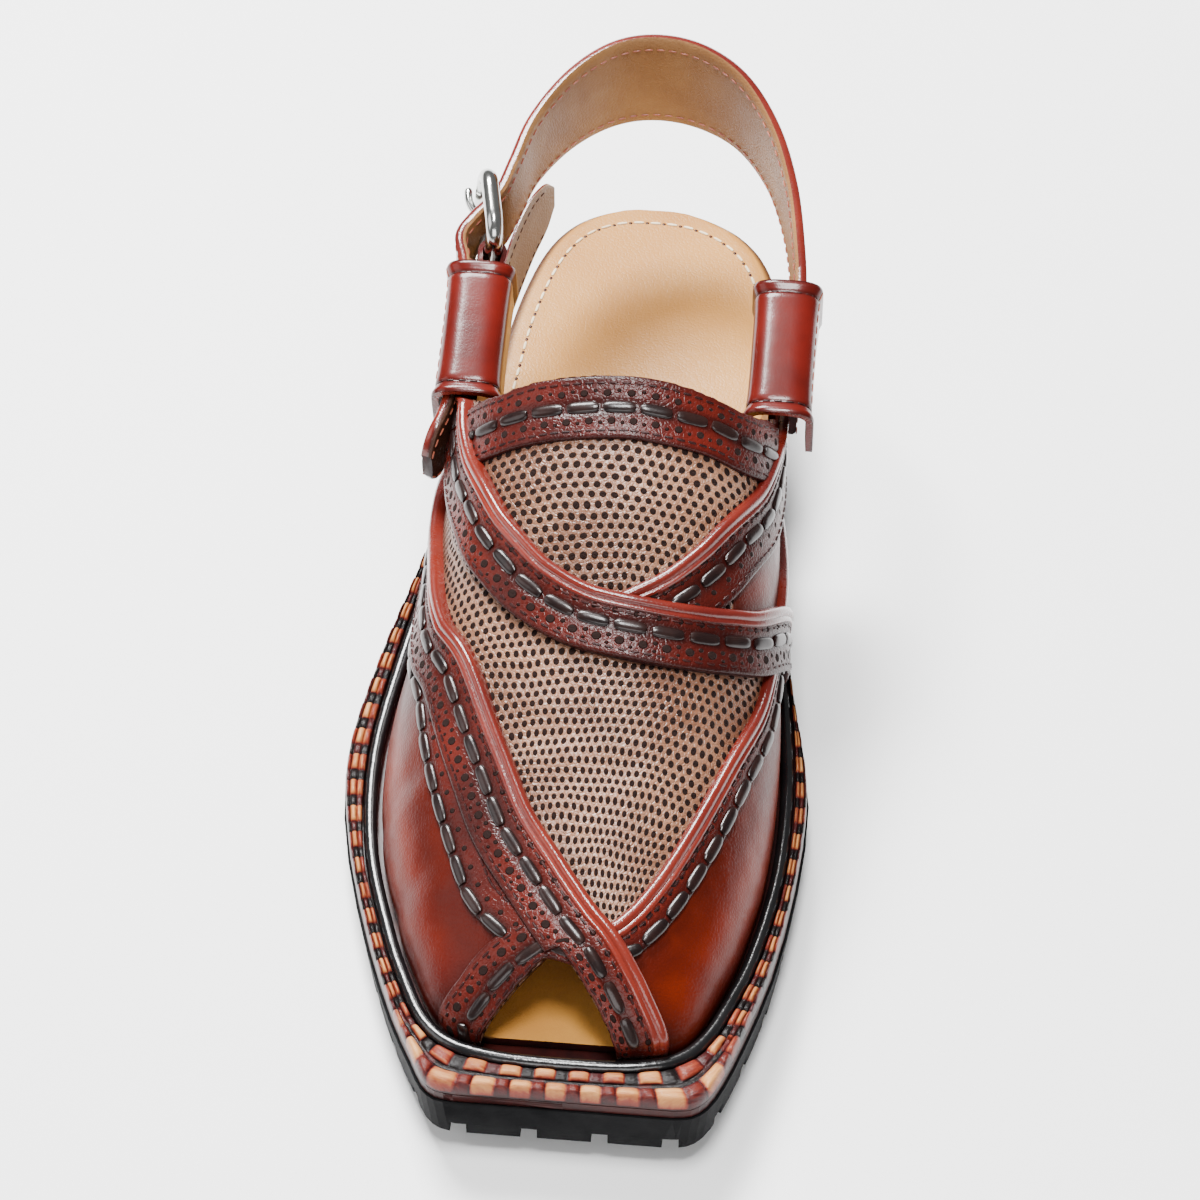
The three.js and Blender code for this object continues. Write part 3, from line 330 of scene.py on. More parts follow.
def outline(side: int, share: Array) -> Array:
    """Plan points of the sole's edge, heel (0) to toe (1), on the lateral (-1) or the medial (1) side."""
    place = np.asarray(share, float) * (len(OUTLINE) - 1)
    column = OUTLINE[:, 1 if side < 0 else 2] * OUTLINE[:, 3]
    return np.stack([spline(column, place), LENGTH * spline(OUTLINE[:, 0], place)], axis=-1)


class Last:
    """The foot form that the upper lies on, as a surface of two parameters.

    across runs from -1 (lateral foot of the wall) over 0 (ridge) to 1 (medial foot), along from 0 (heel side)
    to 1 (toe). Each side of a section is a cubic Bezier curve from its foot to its ridge.
    """

    def _column(self, name: str, along: Array) -> Array:
        """One column of the table of sections at a share of its length."""
        return spline(LAST[:, LAST_COLUMNS.index(name)], along * (len(LAST) - 1))

    def point(self, across: Array, along: Array) -> Array:
        """Points of the surface.

        Args:
            across: place across, -1 to 1.
            along: place along, 0 to 1.

        Returns:
            Points in the shape of the inputs, with X, Y and Z in the last axis.
        """
        across, along = np.broadcast_arrays(np.asarray(across, float), np.asarray(along, float))
        t = 1 - np.abs(across)
        lateral = across < 0
        side = HALF_BALL * np.where(lateral, self._column("lateral", along), self._column("medial", along))
        lean_lateral, lean_medial = self._column("lean_lateral", along), self._column("lean_medial", along)
        out = HALF_BALL * np.where(lateral, -lean_lateral, lean_medial)
        ridge = HALF_BALL * self._column("ridge_side", along)
        b0, b1, b2, b3 = (1 - t) ** 3, 3 * t * (1 - t) ** 2, 3 * t * t * (1 - t), t**3
        roof = self._column("roof", along)
        x = b0 * side + b1 * (side + out) + b2 * (ridge + (side - ridge) * roof) + b3 * ridge
        start, end = self._column("along", along), self._column("ridge_along", along)
        y = LENGTH * (start + (end - start) * (3 * t * t - 2 * t**3))
        share = b1 * self._column("wall", along) + b2 + b3
        z = midsole_top(y) + INSTEP_RISE * self._column("rise", along) * share
        return np.stack([x, y, z], axis=-1)

    def slopes(self, across: Array, along: Array) -> tuple[Array, Array]:
        """Changes of the point with each parameter, by central differences."""
        h = 0.006
        a = np.clip(across, -1, 1)
        by_across = (self.point(a + h, along) - self.point(a - h, along)) / (2 * h)
        by_along = (self.point(a, along + h) - self.point(a, along - h)) / (2 * h)
        return by_across, by_along

    def normal(self, across: Array, along: Array) -> Array:
        """Outward unit normals: the cross product of the two slopes."""
        by_across, by_along = self.slopes(across, along)
        return unit(np.cross(by_along, by_across))

    def raised(self, across: Array, along: Array, height: Array) -> Array:
        """Points at a height over the surface, along its normal."""
        return self.point(across, along) + self.normal(across, along) * np.asarray(height)[..., None]

    def walk(self, places: Array, direction: Array, distance: Array) -> Array:
        """Walks over the surface along a direction in space, in short steps.

        Each step solves the two parameters' changes by least squares from the slopes.

        Args:
            places: across and along of the starts.
            direction: unit directions in space.
            distance: how far each walk goes.

        Returns:
            across and along of the ends.
        """
        steps = 5
        across, along = places[..., 0].copy(), places[..., 1].copy()
        for _ in range(steps):
            da, ds = self.slopes(across, along)
            aa, ab, bb = (da * da).sum(-1), (da * ds).sum(-1), (ds * ds).sum(-1)
            ra = (da * direction).sum(-1) * distance / steps
            rb = (ds * direction).sum(-1) * distance / steps
            det = aa * bb - ab * ab
            across = np.clip(across + (ra * bb - rb * ab) / det, -1.1, 1.1)
            along = np.clip(along + (rb * aa - ra * ab) / det, 0, 1.04)
        return np.stack([across, along], axis=-1)


# Meshes


def shown(name: str, data: bpy.types.ID) -> bpy.types.Object:
    """A new object with its data, in the scene."""
    piece = bpy.data.objects.new(name, data)
    bpy.context.scene.collection.objects.link(piece)
    return piece


def quads(rows: int, columns: int, loop: bool, around: bool) -> tuple[Array, Array, Array]:
    """The faces of a grid of points.

    Args:
        rows: rows of points.
        columns: points in a row.
        loop: the last row joins the first.
        around: the last column joins the first.

    Returns:
        Row and column of each face's first corner, and the numbers of its four corners.
    """
    last_row, last_column = rows if loop else rows - 1, columns if around else columns - 1
    i, j = np.meshgrid(np.arange(last_row), np.arange(last_column), indexing="ij")
    i, j = i.ravel(), j.ravel()
    i1, j1 = (i + 1) % rows, (j + 1) % columns
    return i, j, np.stack([i * columns + j, i * columns + j1, i1 * columns + j1, i1 * columns + j], axis=1)


@dataclass
class Skin:
    """A mesh in the making: grids, tubes and small repeated shapes, with a pattern map and a shade."""

    points: list[Array] = field(default_factory=list)
    faces: list[Array] = field(default_factory=list)
    maps: list[Array] = field(default_factory=list)
    shades: list[Array] = field(default_factory=list)
    slots: list[Array] = field(default_factory=list)
    count: int = 0

    def _take(self, points: Array, faces: Array, corners: Array, shade: Array | float, slot: int) -> None:
        """Stores a block of points with its four-cornered faces and the map at the faces' corners."""
        self.points.append(points.reshape(-1, 3))
        self.faces.append(faces + self.count)
        self.maps.append(corners.reshape(-1, 2))
        self.shades.append(np.broadcast_to(shade, points.shape[:-1]).reshape(-1).astype(float))
        self.slots.append(np.full(len(faces), slot))
        self.count += int(np.prod(points.shape[:-1]))

    def grid(
        self,
        points: Array,
        pattern: Array | None = None,
        shade: Array | float = 0.0,
        slot: int = 0,
        around: bool = False,
        loop: bool = False,
        flip: bool = False,
    ) -> None:
        """Adds a grid of rows of points.

        Args:
            points: rows by columns by 3.
            pattern: map coordinates of each point; the distances along and across if None.
            shade: darkening of each point, 0 to 1: burnish, darker leather and painted shade.
            slot: material slot of the faces.
            around: the last column joins the first.
            loop: the last row joins the first.
            flip: turns the faces round.
        """
        rows, columns = points.shape[:2]
        i, j, faces = quads(rows, columns, loop, around)
        if pattern is None:
            u = lengths_along(points[:, columns // 2])
            v = lengths_along(points[rows // 2])
            pattern = np.stack(np.meshgrid(u, v, indexing="ij"), axis=-1)
        step_u = pattern[-1, 0] - pattern[-2, 0]
        step_v = pattern[0, -1] - pattern[0, -2]
        wide = np.concatenate([pattern, pattern[:, -1:] + step_v], axis=1)
        wide = np.concatenate([wide, wide[-1:] + step_u], axis=0)
        corners = np.stack([wide[i, j], wide[i, j + 1], wide[i + 1, j + 1], wide[i + 1, j]], axis=1)
        if flip:
            faces, corners = faces[:, ::-1], corners[:, ::-1]
        self._take(points, faces, corners, shade, slot)

    def cap(self, ring: Array, slot: int = 0, flip: bool = False) -> None:
        """Closes a ring of points with a fan round its middle."""
        n = len(ring)
        middle = ring.mean(axis=0, keepdims=True)
        points = np.concatenate([ring, middle])
        k = np.arange(n)
        faces = np.stack([k, (k + 1) % n, np.full(n, n), np.full(n, n)], axis=1)
        if flip:
            faces = faces[:, [1, 0, 2, 3]]
        self._take(points, faces, np.zeros((n, 4, 2)), 0.0, slot)

    def tube(self, rings: Array, loop: bool = False) -> None:
        """Adds closed rings joined to a tube, with flat ends unless it is a loop."""
        self.grid(rings, around=True, loop=loop)
        if not loop:
            self.cap(rings[0], flip=True)
            self.cap(rings[-1])

    def shell(self, outer: Array, inner: Array, slots: tuple[int, int, int],
              pattern: Array | None = None, shade: Array | float = 0.0, flip: bool = False) -> None:
        """Adds a wall between an outer and an inner grid, closed along its four edges.

        Args:
            outer: rows by columns by 3.
            inner: the same for the inner side.
            slots: material slots of the outer side, the inner side and the edges.
            pattern: map coordinates of the outer side.
            shade: darkening of the outer side: burnish and painted shade.
            flip: turns the faces round.
        """
        self.grid(outer, pattern=pattern, shade=shade, slot=slots[0], flip=flip)
        self.grid(inner, pattern=pattern, slot=slots[1], flip=not flip)
        rims = [np.concatenate([a[0], a[1:, -1], a[-1, -2::-1], a[-2:0:-1, 0]]) for a in (outer, inner)]
        rim = np.stack([rims[0], (rims[0] + rims[1]) / 2, rims[1]])
        self.grid(rim, around=True, slot=slots[2], flip=not flip)

    def copies(self, shape: Array, places: Array, frames: Array, slot: int) -> None:
        """Adds a small closed tube at many places.

        Args:
            shape: rings by points by 3, along the first of the frame's axes.
            places: a point for each copy.
            frames: three axes for each copy, as rows.
            slot: material slot.
        """
        rings, sides = shape.shape[:2]
        moved = np.einsum("rsk,nkx->nrsx", shape, frames) + places[:, None, None, :]
        one = quads(rings, sides, False, True)[2]
        faces = (one[None] + (np.arange(len(places)) * rings * sides)[:, None, None]).reshape(-1, 4)
        self._take(moved, faces, np.zeros((len(faces), 4, 2)), 0.0, slot)

    def finish(self, name: str, materials: list[bpy.types.Material], sharp: float) -> bpy.types.Object:
        """Makes the Blender object: in metres, welded, smooth with edges sharp above an angle.

        Args:
            name: the piece's name.
            materials: the materials of its slots.
            sharp: the angle in degrees.

        Returns:
            The new object.
        """
        points = np.concatenate(self.points) * MM
        faces = np.concatenate(self.faces)
        corner_map = np.concatenate(self.maps).reshape(-1, 4, 2)
        shade = np.concatenate(self.shades)
        slots = np.concatenate(self.slots)
        keys = np.round(points * 2e6).astype(np.int64)
        _, first, welded = np.unique(keys, axis=0, return_index=True, return_inverse=True)
        points, shade = points[first], shade[first]
        faces = welded.reshape(-1)[faces]
        keep = np.ones_like(faces, bool)
        for k in range(4):
            keep[:, k] = faces[:, k] != faces[:, (k + 1) % 4]
        sides = keep.sum(axis=1)
        real = sides >= 3
        faces, keep, sides = faces[real], keep[real], sides[real]
        corner_map, slots = corner_map[real], slots[real]
        mesh = bpy.data.meshes.new(name)
        mesh.vertices.add(len(points))
        mesh.vertices.foreach_set("co", points.ravel())
        mesh.loops.add(int(sides.sum()))
        mesh.loops.foreach_set("vertex_index", faces[keep])
        mesh.polygons.add(len(faces))
        mesh.polygons.foreach_set("loop_start", np.concatenate([[0], np.cumsum(sides)[:-1]]))
        mesh.polygons.foreach_set("material_index", slots)
        mesh.update(calc_edges=True)
        layer = mesh.uv_layers.new(name="pattern")
        layer.uv.foreach_set("vector", corner_map[keep].ravel())
        attribute = mesh.attributes.new("shade", "FLOAT", "POINT")
        attribute.data.foreach_set("value", shade)
        for material in materials:
            mesh.materials.append(material)
        mesh.validate(clean_customdata=False)
        mesh.set_sharp_from_angle(angle=np.radians(sharp))
        return shown(name, mesh)


def bead_shape(length: float, width: float, height: float, square: float, rings: int, sides: int) -> Array:
    """A small closed lozenge: each ring is an ellipse of size (1 - |x|^square)^(1/square) along its length.

    Args:
        length: whole length along the first axis.
        width: whole width along the second.
        height: whole height along the third.
        square: 2 gives an ellipsoid, larger values a blunter end.
        rings: rings along the length.
        sides: points in a ring.

    Returns:
        Rings by sides by 3; the first and last ring are one point each.
    """
    x = -np.cos(np.linspace(0, np.pi, rings))
    size = np.maximum(1 - np.abs(x) ** square, 0) ** (1 / square)
    angle = np.linspace(0, 2 * np.pi, sides, endpoint=False)
    return np.stack([
        np.broadcast_to(x[:, None] * length / 2, (rings, sides)),
        size[:, None] * np.cos(angle) * width / 2,
        size[:, None] * np.sin(angle) * height / 2,
    ], axis=-1)


# Finishes


class NodeBench:
    """Builds one material's nodes with short calls."""

    def __init__(self, name: str) -> None:
        """Starts an empty material with its shader and output."""
        self.material = bpy.data.materials.new(name)
        self.material.use_nodes = True
        self.tree = self.material.node_tree
        self.tree.nodes.clear()
        self.shader = self.tree.nodes.new("ShaderNodeBsdfPrincipled")
        out = self.tree.nodes.new("ShaderNodeOutputMaterial")
        self.tree.links.new(self.shader.outputs["BSDF"], out.inputs["Surface"])

    def put(self, node: bpy.types.Node, key: str | int, value: object) -> None:
        """Links a socket or sets its value."""
        if isinstance(value, Socket):
            self.tree.links.new(value, node.inputs[key])
        else:
            node.inputs[key].default_value = value

    def add(self, kind: str, sockets: dict[str | int, object], **settings: object) -> bpy.types.Node:
        """A new node with its settings and inputs."""
        node = self.tree.nodes.new(kind)
        for key, value in settings.items():
            setattr(node, key, value)
        for key, value in sockets.items():
            self.put(node, key, value)
        return node

    def math(self, operation: str, a: object, b: object = 0.0, clamp: bool = False) -> Socket:
        """The result of one Math node."""
        return self.add("ShaderNodeMath", {0: a, 1: b}, operation=operation, use_clamp=clamp).outputs[0]

    def step(self, value: object, low: float, high: float) -> Socket:
        """A smooth rise of a value from low to high, or a fall where low is the larger."""
        node = self.add("ShaderNodeMapRange", {"Value": value, "From Min": low, "From Max": high},
                        interpolation_type="SMOOTHSTEP")
        return node.outputs["Result"]

    def mix(self, share: object, a: object, b: object) -> Socket:
        """A mix of two colours."""
        node = self.add("ShaderNodeMix", {0: share}, data_type="RGBA")
        self.put(node, 6, a)
        self.put(node, 7, b)
        return node.outputs[2]

    def noise(self, vector: object, scale: float, detail: float, rough: float = 0.55) -> Socket:
        """The value of a noise."""
        sockets = {"Vector": vector, "Scale": scale, "Detail": detail, "Roughness": rough}
        return self.add("ShaderNodeTexNoise", sockets).outputs["Fac"]

    def times(self, a: object, b: object) -> Socket:
        """The product of two values."""
        return self.math("MULTIPLY", a, b)

    def plus(self, a: object, b: object) -> Socket:
        """The sum of two values."""
        return self.math("ADD", a, b)

    def sway(self, value: object, size: float) -> Socket:
        """A value from 0 to 1 spread about 0: (value - 0.5) * size."""
        return self.times(self.math("SUBTRACT", value, 0.5), size)

    def in_cell(self, value: object, size: float, offset: float) -> Socket:
        """Distance from the middle of a repeated cell of a size, moved on by a share of it."""
        return self.sway(self.math("FRACT", self.plus(self.math("DIVIDE", value, size), offset)), size)

    def place(self) -> Socket:
        """Object coordinates, in metres."""
        return self.tree.nodes.new("ShaderNodeTexCoord").outputs["Object"]

    def pattern(self) -> tuple[Socket, Socket]:
        """The piece's own map, in millimetres along and across."""
        layer = self.add("ShaderNodeUVMap", {}, uv_map="pattern")
        split = self.add("ShaderNodeSeparateXYZ", {0: layer.outputs[0]})
        return split.outputs[0], split.outputs[1]

    def shade(self) -> Socket:
        """The darkening that the mesh carries: burnish, darker leather and painted shade."""
        return self.add("ShaderNodeAttribute", {}, attribute_name="shade").outputs["Fac"]

    def bump(self, height: object, distance: float, strength: float = 1.0) -> None:
        """Sends a height to the shader's normal. distance is in millimetres for a height of 1."""
        node = self.add("ShaderNodeBump", {"Strength": strength, "Distance": distance * MM, "Height": height})
        self.put(self.shader, "Normal", node.outputs["Normal"])
        self.put(self.shader, "Coat Normal", node.outputs["Normal"])

    def gloss(self, roughness: object, coat: object = 0.0, coat_roughness: float = 0.2, metallic: float = 0.0,
              specular: float = 0.5) -> None:
        """Sets how the surface shines."""
        self.put(self.shader, "Roughness", roughness)
        self.put(self.shader, "Coat Weight", coat)
        self.put(self.shader, "Coat Roughness", coat_roughness)
        self.put(self.shader, "Metallic", metallic)
        self.put(self.shader, "Specular IOR Level", specular)


Color = tuple[float, float, float, float]


def rgb(red: float, green: float, blue: float) -> Color:
    """A colour with full alpha."""
    return (red, green, blue, 1.0)


@dataclass(frozen=True)
class HoleRow:
    """A row of punched holes along a strap."""

    across: float
    pitch: float
    radius: float
    phase: float = 0.0


@dataclass(frozen=True)
class Leather:
    """A leather's colours, burnish and painted shade, grain and gloss, with the holes punched in it.

    Patches, grain and lattice are in millimetres. WRINKLE_SIZE and FINE_SIZE are the sizes of the wrinkles
    and of the fine mottling. HOLE_SOFT blurs the rim of a hole. DRIFTS says how the lattice strays along and
    across: noise scale, detail and distance. ROW_RATIO is the lattice's height over its pitch.
    """

    WRINKLE_SIZE = 9.0
    FINE_SIZE = 5.0
    # Painted shade inside the punched holes.
    HOLE_SHADE = (0.012, 0.006, 0.005, 1.0)
    HOLE_DEPTH = 0.7
    HOLE_SOFT = 0.14
    DRIFTS = ((26.0, 1.0, 9.0), (41.0, 2.0, 6.0))
    ROW_RATIO = 1.732

    name: str
    light: Color
    dark: Color
    # The colour that the mesh's shade mixes in: burnish and painted shade.
    edge: Color
    blotch: float = 45.0
    grain: float = 0.7
    grain_depth: float = 0.05
    wrinkle: float = 0.25
    roughness: float = 0.36
    coat: float = 0.28
    coat_roughness: float = 0.2
    specular: float = 0.08
    holes: tuple[HoleRow, ...] = ()
    lattice: float = 0.0
    lattice_radius: float = 0.7

    def material(self) -> bpy.types.Material:
        """The material: two mixed colours, darker by the mesh's shade, with grain and holes as bump."""
        bench = NodeBench(self.name)
        place = bench.place()
        blotches = bench.noise(place, 1000 / self.blotch, 4.0, 0.6)
        color = bench.mix(bench.step(blotches, 0.34, 0.66), self.dark, self.light)
        wrinkle = bench.noise(place, 1000 / self.WRINKLE_SIZE, 2.0, 0.5)
        fine = bench.noise(place, 1000 / self.FINE_SIZE, 5.0, 0.65)
        color = bench.mix(bench.times(bench.step(fine, 0.35, 0.8), 0.3), color, self.dark)
        # The mesh's shade darkens the colour towards edge: burnish and painted shade.
        color = bench.mix(bench.shade(), color, self.edge)
        grain = bench.noise(place, 1000 / self.grain, 4.0, 0.7)
        pores = bench.add("ShaderNodeTexVoronoi", {"Vector": place, "Scale": 1000 / (self.grain * 1.6)},
                          feature="DISTANCE_TO_EDGE").outputs["Distance"]
        height = bench.plus(bench.times(grain, 0.7), bench.step(pores, 0.0, 0.25))
        height = bench.times(height, self.grain_depth)
        height = bench.plus(height, bench.times(wrinkle, self.wrinkle))
        rough = bench.plus(bench.times(fine, 0.16), self.roughness - 0.08)
        hole = self._holes(bench)
        coat = self.coat
        if hole is not None:
            # Painted shade in the holes.
            color = bench.mix(hole, color, self.HOLE_SHADE)
            height = bench.math("SUBTRACT", height, bench.times(hole, self.HOLE_DEPTH))
            rough = bench.math("ADD", rough, bench.times(hole, 0.5), clamp=True)
            coat = bench.times(bench.math("SUBTRACT", 1.0, hole), self.coat)
        bench.put(bench.shader, "Base Color", color)
        bench.gloss(rough, coat, self.coat_roughness, specular=self.specular)
        bench.bump(height, 1.0)
        return bench.material

    def _holes(self, bench: NodeBench) -> Socket | None:
        """1 inside the punched holes, 0 elsewhere: the distance to the nearest centre against the radius."""
        if not self.holes and not self.lattice:
            return None
        along, across = bench.pattern()
        result = None
        cells: list[tuple[object, object, float]] = []
        for row in self.holes:
            du = bench.in_cell(along, row.pitch, row.phase)
            cells.append((du, bench.math("SUBTRACT", across, row.across), row.radius))
        if self.lattice:
            place = bench.place()
            shifts = [bench.sway(bench.noise(place, *wave), far) for *wave, far in self.DRIFTS]
            along, across = bench.plus(along, shifts[0]), bench.plus(across, shifts[1])
            high = self.lattice * self.ROW_RATIO
            for offset in (0.0, 0.5):
                du, dv = bench.in_cell(along, self.lattice, offset), bench.in_cell(across, high, offset)
                cells.append((du, dv, self.lattice_radius))
        for du, dv, radius in cells:
            square = bench.plus(bench.times(du, du), bench.times(dv, dv))
            inside = bench.step(bench.math("SQRT", square), radius + self.HOLE_SOFT, radius - self.HOLE_SOFT)
            result = inside if result is None else bench.math("MAXIMUM", result, inside)
        return result


@dataclass(frozen=True)
class Plain:
    """A simple finish: one colour with a little mottling, a bump and its gloss."""

    SHADED = (0.015, 0.01, 0.01, 1.0)

    name: str
    color: Color
    other: Color
    mottle: float = 8.0
    bump: float = 0.03
    bump_size: float = 0.8
    roughness: float = 0.5
    coat: float = 0.0
    metallic: float = 0.0
    specular: float = 0.4

    def material(self) -> bpy.types.Material:
        """The material, darker by the mesh's shade."""
        bench = NodeBench(self.name)
        place = bench.place()
        mottle = bench.noise(place, 1000 / self.mottle, 4.0, 0.6)
        color = bench.mix(bench.step(mottle, 0.3, 0.7), self.color, self.other)
        color = bench.mix(bench.shade(), color, self.SHADED)
        bench.put(bench.shader, "Base Color", color)
        grain = bench.noise(place, 1000 / self.bump_size, 3.0, 0.6)
        rough = bench.plus(bench.times(grain, 0.1), self.roughness - 0.05)
        bench.gloss(rough, self.coat, 0.15, self.metallic, self.specular)
        bench.bump(bench.times(grain, self.bump), 1.0)
        return bench.material


@dataclass(frozen=True)
class Braid:
    """The welt's laces: tan, maroon and black, chosen by the mesh's shade, with streaks along the wraps."""

    STOPS = (
        (0.16, (0.006, 0.004, 0.004, 1.0)), (0.36, (0.055, 0.006, 0.006, 1.0)),
        (0.56, (0.19, 0.03, 0.015, 1.0)), (0.72, (0.36, 0.135, 0.042, 1.0)),
        (0.86, (0.5, 0.225, 0.075, 1.0)), (1.0, (0.62, 0.31, 0.115, 1.0)),
    )

    name: str = "welt_braid"

    def material(self) -> bpy.types.Material:
        """The material: shade 0 is black lace, 0.5 maroon and 1 tan."""
        bench = NodeBench(self.name)
        along, across = bench.pattern()
        slow = bench.times(along, 0.25)
        vector = bench.add("ShaderNodeCombineXYZ", {0: slow, 1: across, 2: 0.0})
        streak = bench.noise(vector.outputs[0], 1.6, 4.0, 0.7)
        shade = bench.plus(bench.shade(), bench.sway(streak, 0.35))
        ramp = bench.add("ShaderNodeValToRGB", {0: shade})
        stops = ramp.color_ramp.elements
        stops[0].position, stops[0].color = self.STOPS[0]
        stops[1].position, stops[1].color = self.STOPS[-1]
        for position, color in self.STOPS[1:-1]:
            stops.new(position).color = color
        bench.put(bench.shader, "Base Color", ramp.outputs[0])
        bench.gloss(0.4, 0.22, 0.18, specular=0.1)
        bench.bump(bench.times(streak, 0.3), 1.0)
        return bench.material


class Finish(Enum):
    """The finishes of the shoe."""

    STRAP = Leather(
        "strap_leather", rgb(0.092, 0.0085, 0.0045), rgb(0.030, 0.003, 0.002), rgb(0.007, 0.001, 0.001),
        holes=(
            HoleRow(-4.1, 5.4, 1.0), HoleRow(-3.2, 5.4, 0.5, 0.5), HoleRow(3.3, 5.4, 0.62, 0.5),
            HoleRow(-5.3, 5.4, 0.35, 0.5),
        ),
    )
    BAND = Leather(
        "band_leather", rgb(0.088, 0.0078, 0.0045), rgb(0.029, 0.003, 0.002), rgb(0.007, 0.001, 0.001),
        holes=(
            HoleRow(-3.7, 5.6, 0.9), HoleRow(3.7, 5.6, 0.85, 0.2), HoleRow(-4.2, 5.6, 0.42, 0.5),
            HoleRow(4.3, 5.6, 0.4, 0.7),
        ),
    )
    SMOOTH = Leather(
        "panel_leather", rgb(0.138, 0.0115, 0.002), rgb(0.060, 0.0038, 0.0014), rgb(0.008, 0.001, 0.001),
        blotch=70.0, grain_depth=0.03, wrinkle=0.35, coat=0.15,
    )
    PERFORATED = Leather(
        "perforated_leather", rgb(0.270, 0.128, 0.072), rgb(0.135, 0.053, 0.027), rgb(0.035, 0.006, 0.003),
        blotch=32.0, grain_depth=0.12, wrinkle=0.4, roughness=0.4, coat=0.75, coat_roughness=0.3,
        lattice=2.95, lattice_radius=0.86,
    )
    SLEEVE = Leather(
        "sleeve_leather", rgb(0.105, 0.0062, 0.0035), rgb(0.044, 0.003, 0.0022), rgb(0.006, 0.001, 0.001),
        grain_depth=0.005, wrinkle=0.12, roughness=0.33, coat=0.42, coat_roughness=0.17,
    )
    PIPING = Leather(
        "piping_leather", rgb(0.16, 0.017, 0.009), rgb(0.08, 0.0065, 0.0045), rgb(0.015, 0.002, 0.002),
        grain_depth=0.015, wrinkle=0.1, roughness=0.28, coat=0.7, coat_roughness=0.14, specular=0.2,
    )
    LINING = Leather(
        "lining_leather", rgb(0.28, 0.14, 0.052), rgb(0.19, 0.085, 0.031), rgb(0.020, 0.004, 0.003),
        grain_depth=0.05, roughness=0.5, coat=0.02, specular=0.2,
    )
    TAB_LINING = Leather(
        "tab_lining", rgb(0.33, 0.225, 0.15), rgb(0.22, 0.135, 0.085), rgb(0.05, 0.016, 0.012),
        grain_depth=0.06, roughness=0.5, coat=0.02, specular=0.2,
    )
    INSOLE = Leather(
        "insole_leather", rgb(0.50, 0.230, 0.046), rgb(0.39, 0.160, 0.030), rgb(0.04, 0.010, 0.005),
        blotch=80.0, grain_depth=0.03, wrinkle=0.12, roughness=0.42, coat=0.05, specular=0.2,
    )
    EDGE = Plain(
        "edge_paint", rgb(0.035, 0.005, 0.004), rgb(0.014, 0.003, 0.003), roughness=0.4, coat=0.1,
        specular=0.12,
    )
    LACE = Plain(
        "lace_leather", rgb(0.014, 0.005, 0.004), rgb(0.005, 0.002, 0.002), roughness=0.3, coat=0.34,
        bump=0.03, specular=0.2,
    )
    THREAD = Plain(
        "dark_thread", rgb(0.030, 0.004, 0.003), rgb(0.012, 0.002, 0.002), roughness=0.4, coat=0.1,
        bump=0.08, bump_size=0.25, specular=0.15,
    )
    PALE_THREAD = Plain(
        "pale_thread", rgb(0.85, 0.72, 0.5), rgb(0.7, 0.54, 0.34), roughness=0.55, bump=0.08,
        bump_size=0.25,
    )
    RED_THREAD = Plain(
        "red_thread", rgb(0.32, 0.085, 0.045), rgb(0.18, 0.035, 0.02), roughness=0.4, coat=0.1, bump=0.08,
        bump_size=0.25,
    )
    RUBBER = Plain(
        "sole_rubber", rgb(0.004, 0.004, 0.0045), rgb(0.008, 0.008, 0.0085), roughness=0.66, bump=0.06,
        bump_size=0.5, specular=0.05,
    )
    CORD = Plain(
        "rand_cord", rgb(0.003, 0.003, 0.0035), rgb(0.006, 0.0055, 0.006), roughness=0.24, coat=0.5,
        bump=0.12, bump_size=3.0,
    )
    STEEL = Plain(
        "buckle_steel", rgb(0.55, 0.55, 0.53), rgb(0.48, 0.48, 0.47), roughness=0.16, metallic=1.0,
        bump=0.004,
    )
    WELT = Braid()


class Workshop:
    """Makes each finish once, and hangs each piece on the shoe."""

    def __init__(self) -> None:
        """Starts with no finishes made."""
        self._made: dict[Finish, bpy.types.Material] = {}

    def finish(self, finish: Finish) -> bpy.types.Material:
        """The material of a finish."""
        if finish not in self._made:
            self._made[finish] = finish.value.material()
        return self._made[finish]

    def tie(self, piece: bpy.types.Object, node: str) -> None:
        """Ties a piece to the body, hides the model's node that it stands for and logs its faces."""
        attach(piece, "root")
        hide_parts(node)
        LOG.info("%s: %d faces", piece.name, len(piece.data.polygons))

    def hang(self, skin: Skin, name: str, finishes: list[Finish], node: str,
             sharp: float = 38.0) -> None:
        """Finishes a piece and ties it to the body.

        Args:
            skin: the mesh in the making.
            name: the piece's name.
            finishes: the finishes of its slots.
            node: the model's node that it replaces.
            sharp: angle above which edges stay sharp.
        """
        self.tie(skin.finish(name, [self.finish(finish) for finish in finishes], sharp), node)


# The upper


def inside(polygon: Array, x: Array, y: Array) -> Array:
    """Whether points lie in a polygon: an odd number of its sides lies to their right.

    Args:
        polygon: its corners.
        x: first coordinates of the points.
        y: second coordinates.

    Returns:
        True for the points inside.
    """
    result = np.zeros(x.shape, bool)
    for (x0, y0), (x1, y1) in zip(polygon, np.roll(polygon, -1, axis=0)):
        if y0 == y1:
            continue
        crosses = (y0 > y) != (y1 > y)
        result ^= crosses & (x < (x1 - x0) * (y - y0) / (y1 - y0) + x0)
    return result


def in_an_opening(points: Array) -> Array:
    """Whether points lie in the side view of the collar's opening or in the plan of the open toe."""
    collar = np.concatenate([COLLAR * (LENGTH, INSTEP_RISE), BEHIND_COLLAR])
    return inside(collar, points[..., 1], points[..., 2]) | inside(OPEN_TOE, points[..., 0], points[..., 1])


class Bead(Enum):
    """Where a strap's rolled edge lies."""

    NONE = 0
    LEFT = 1
    RIGHT = -1


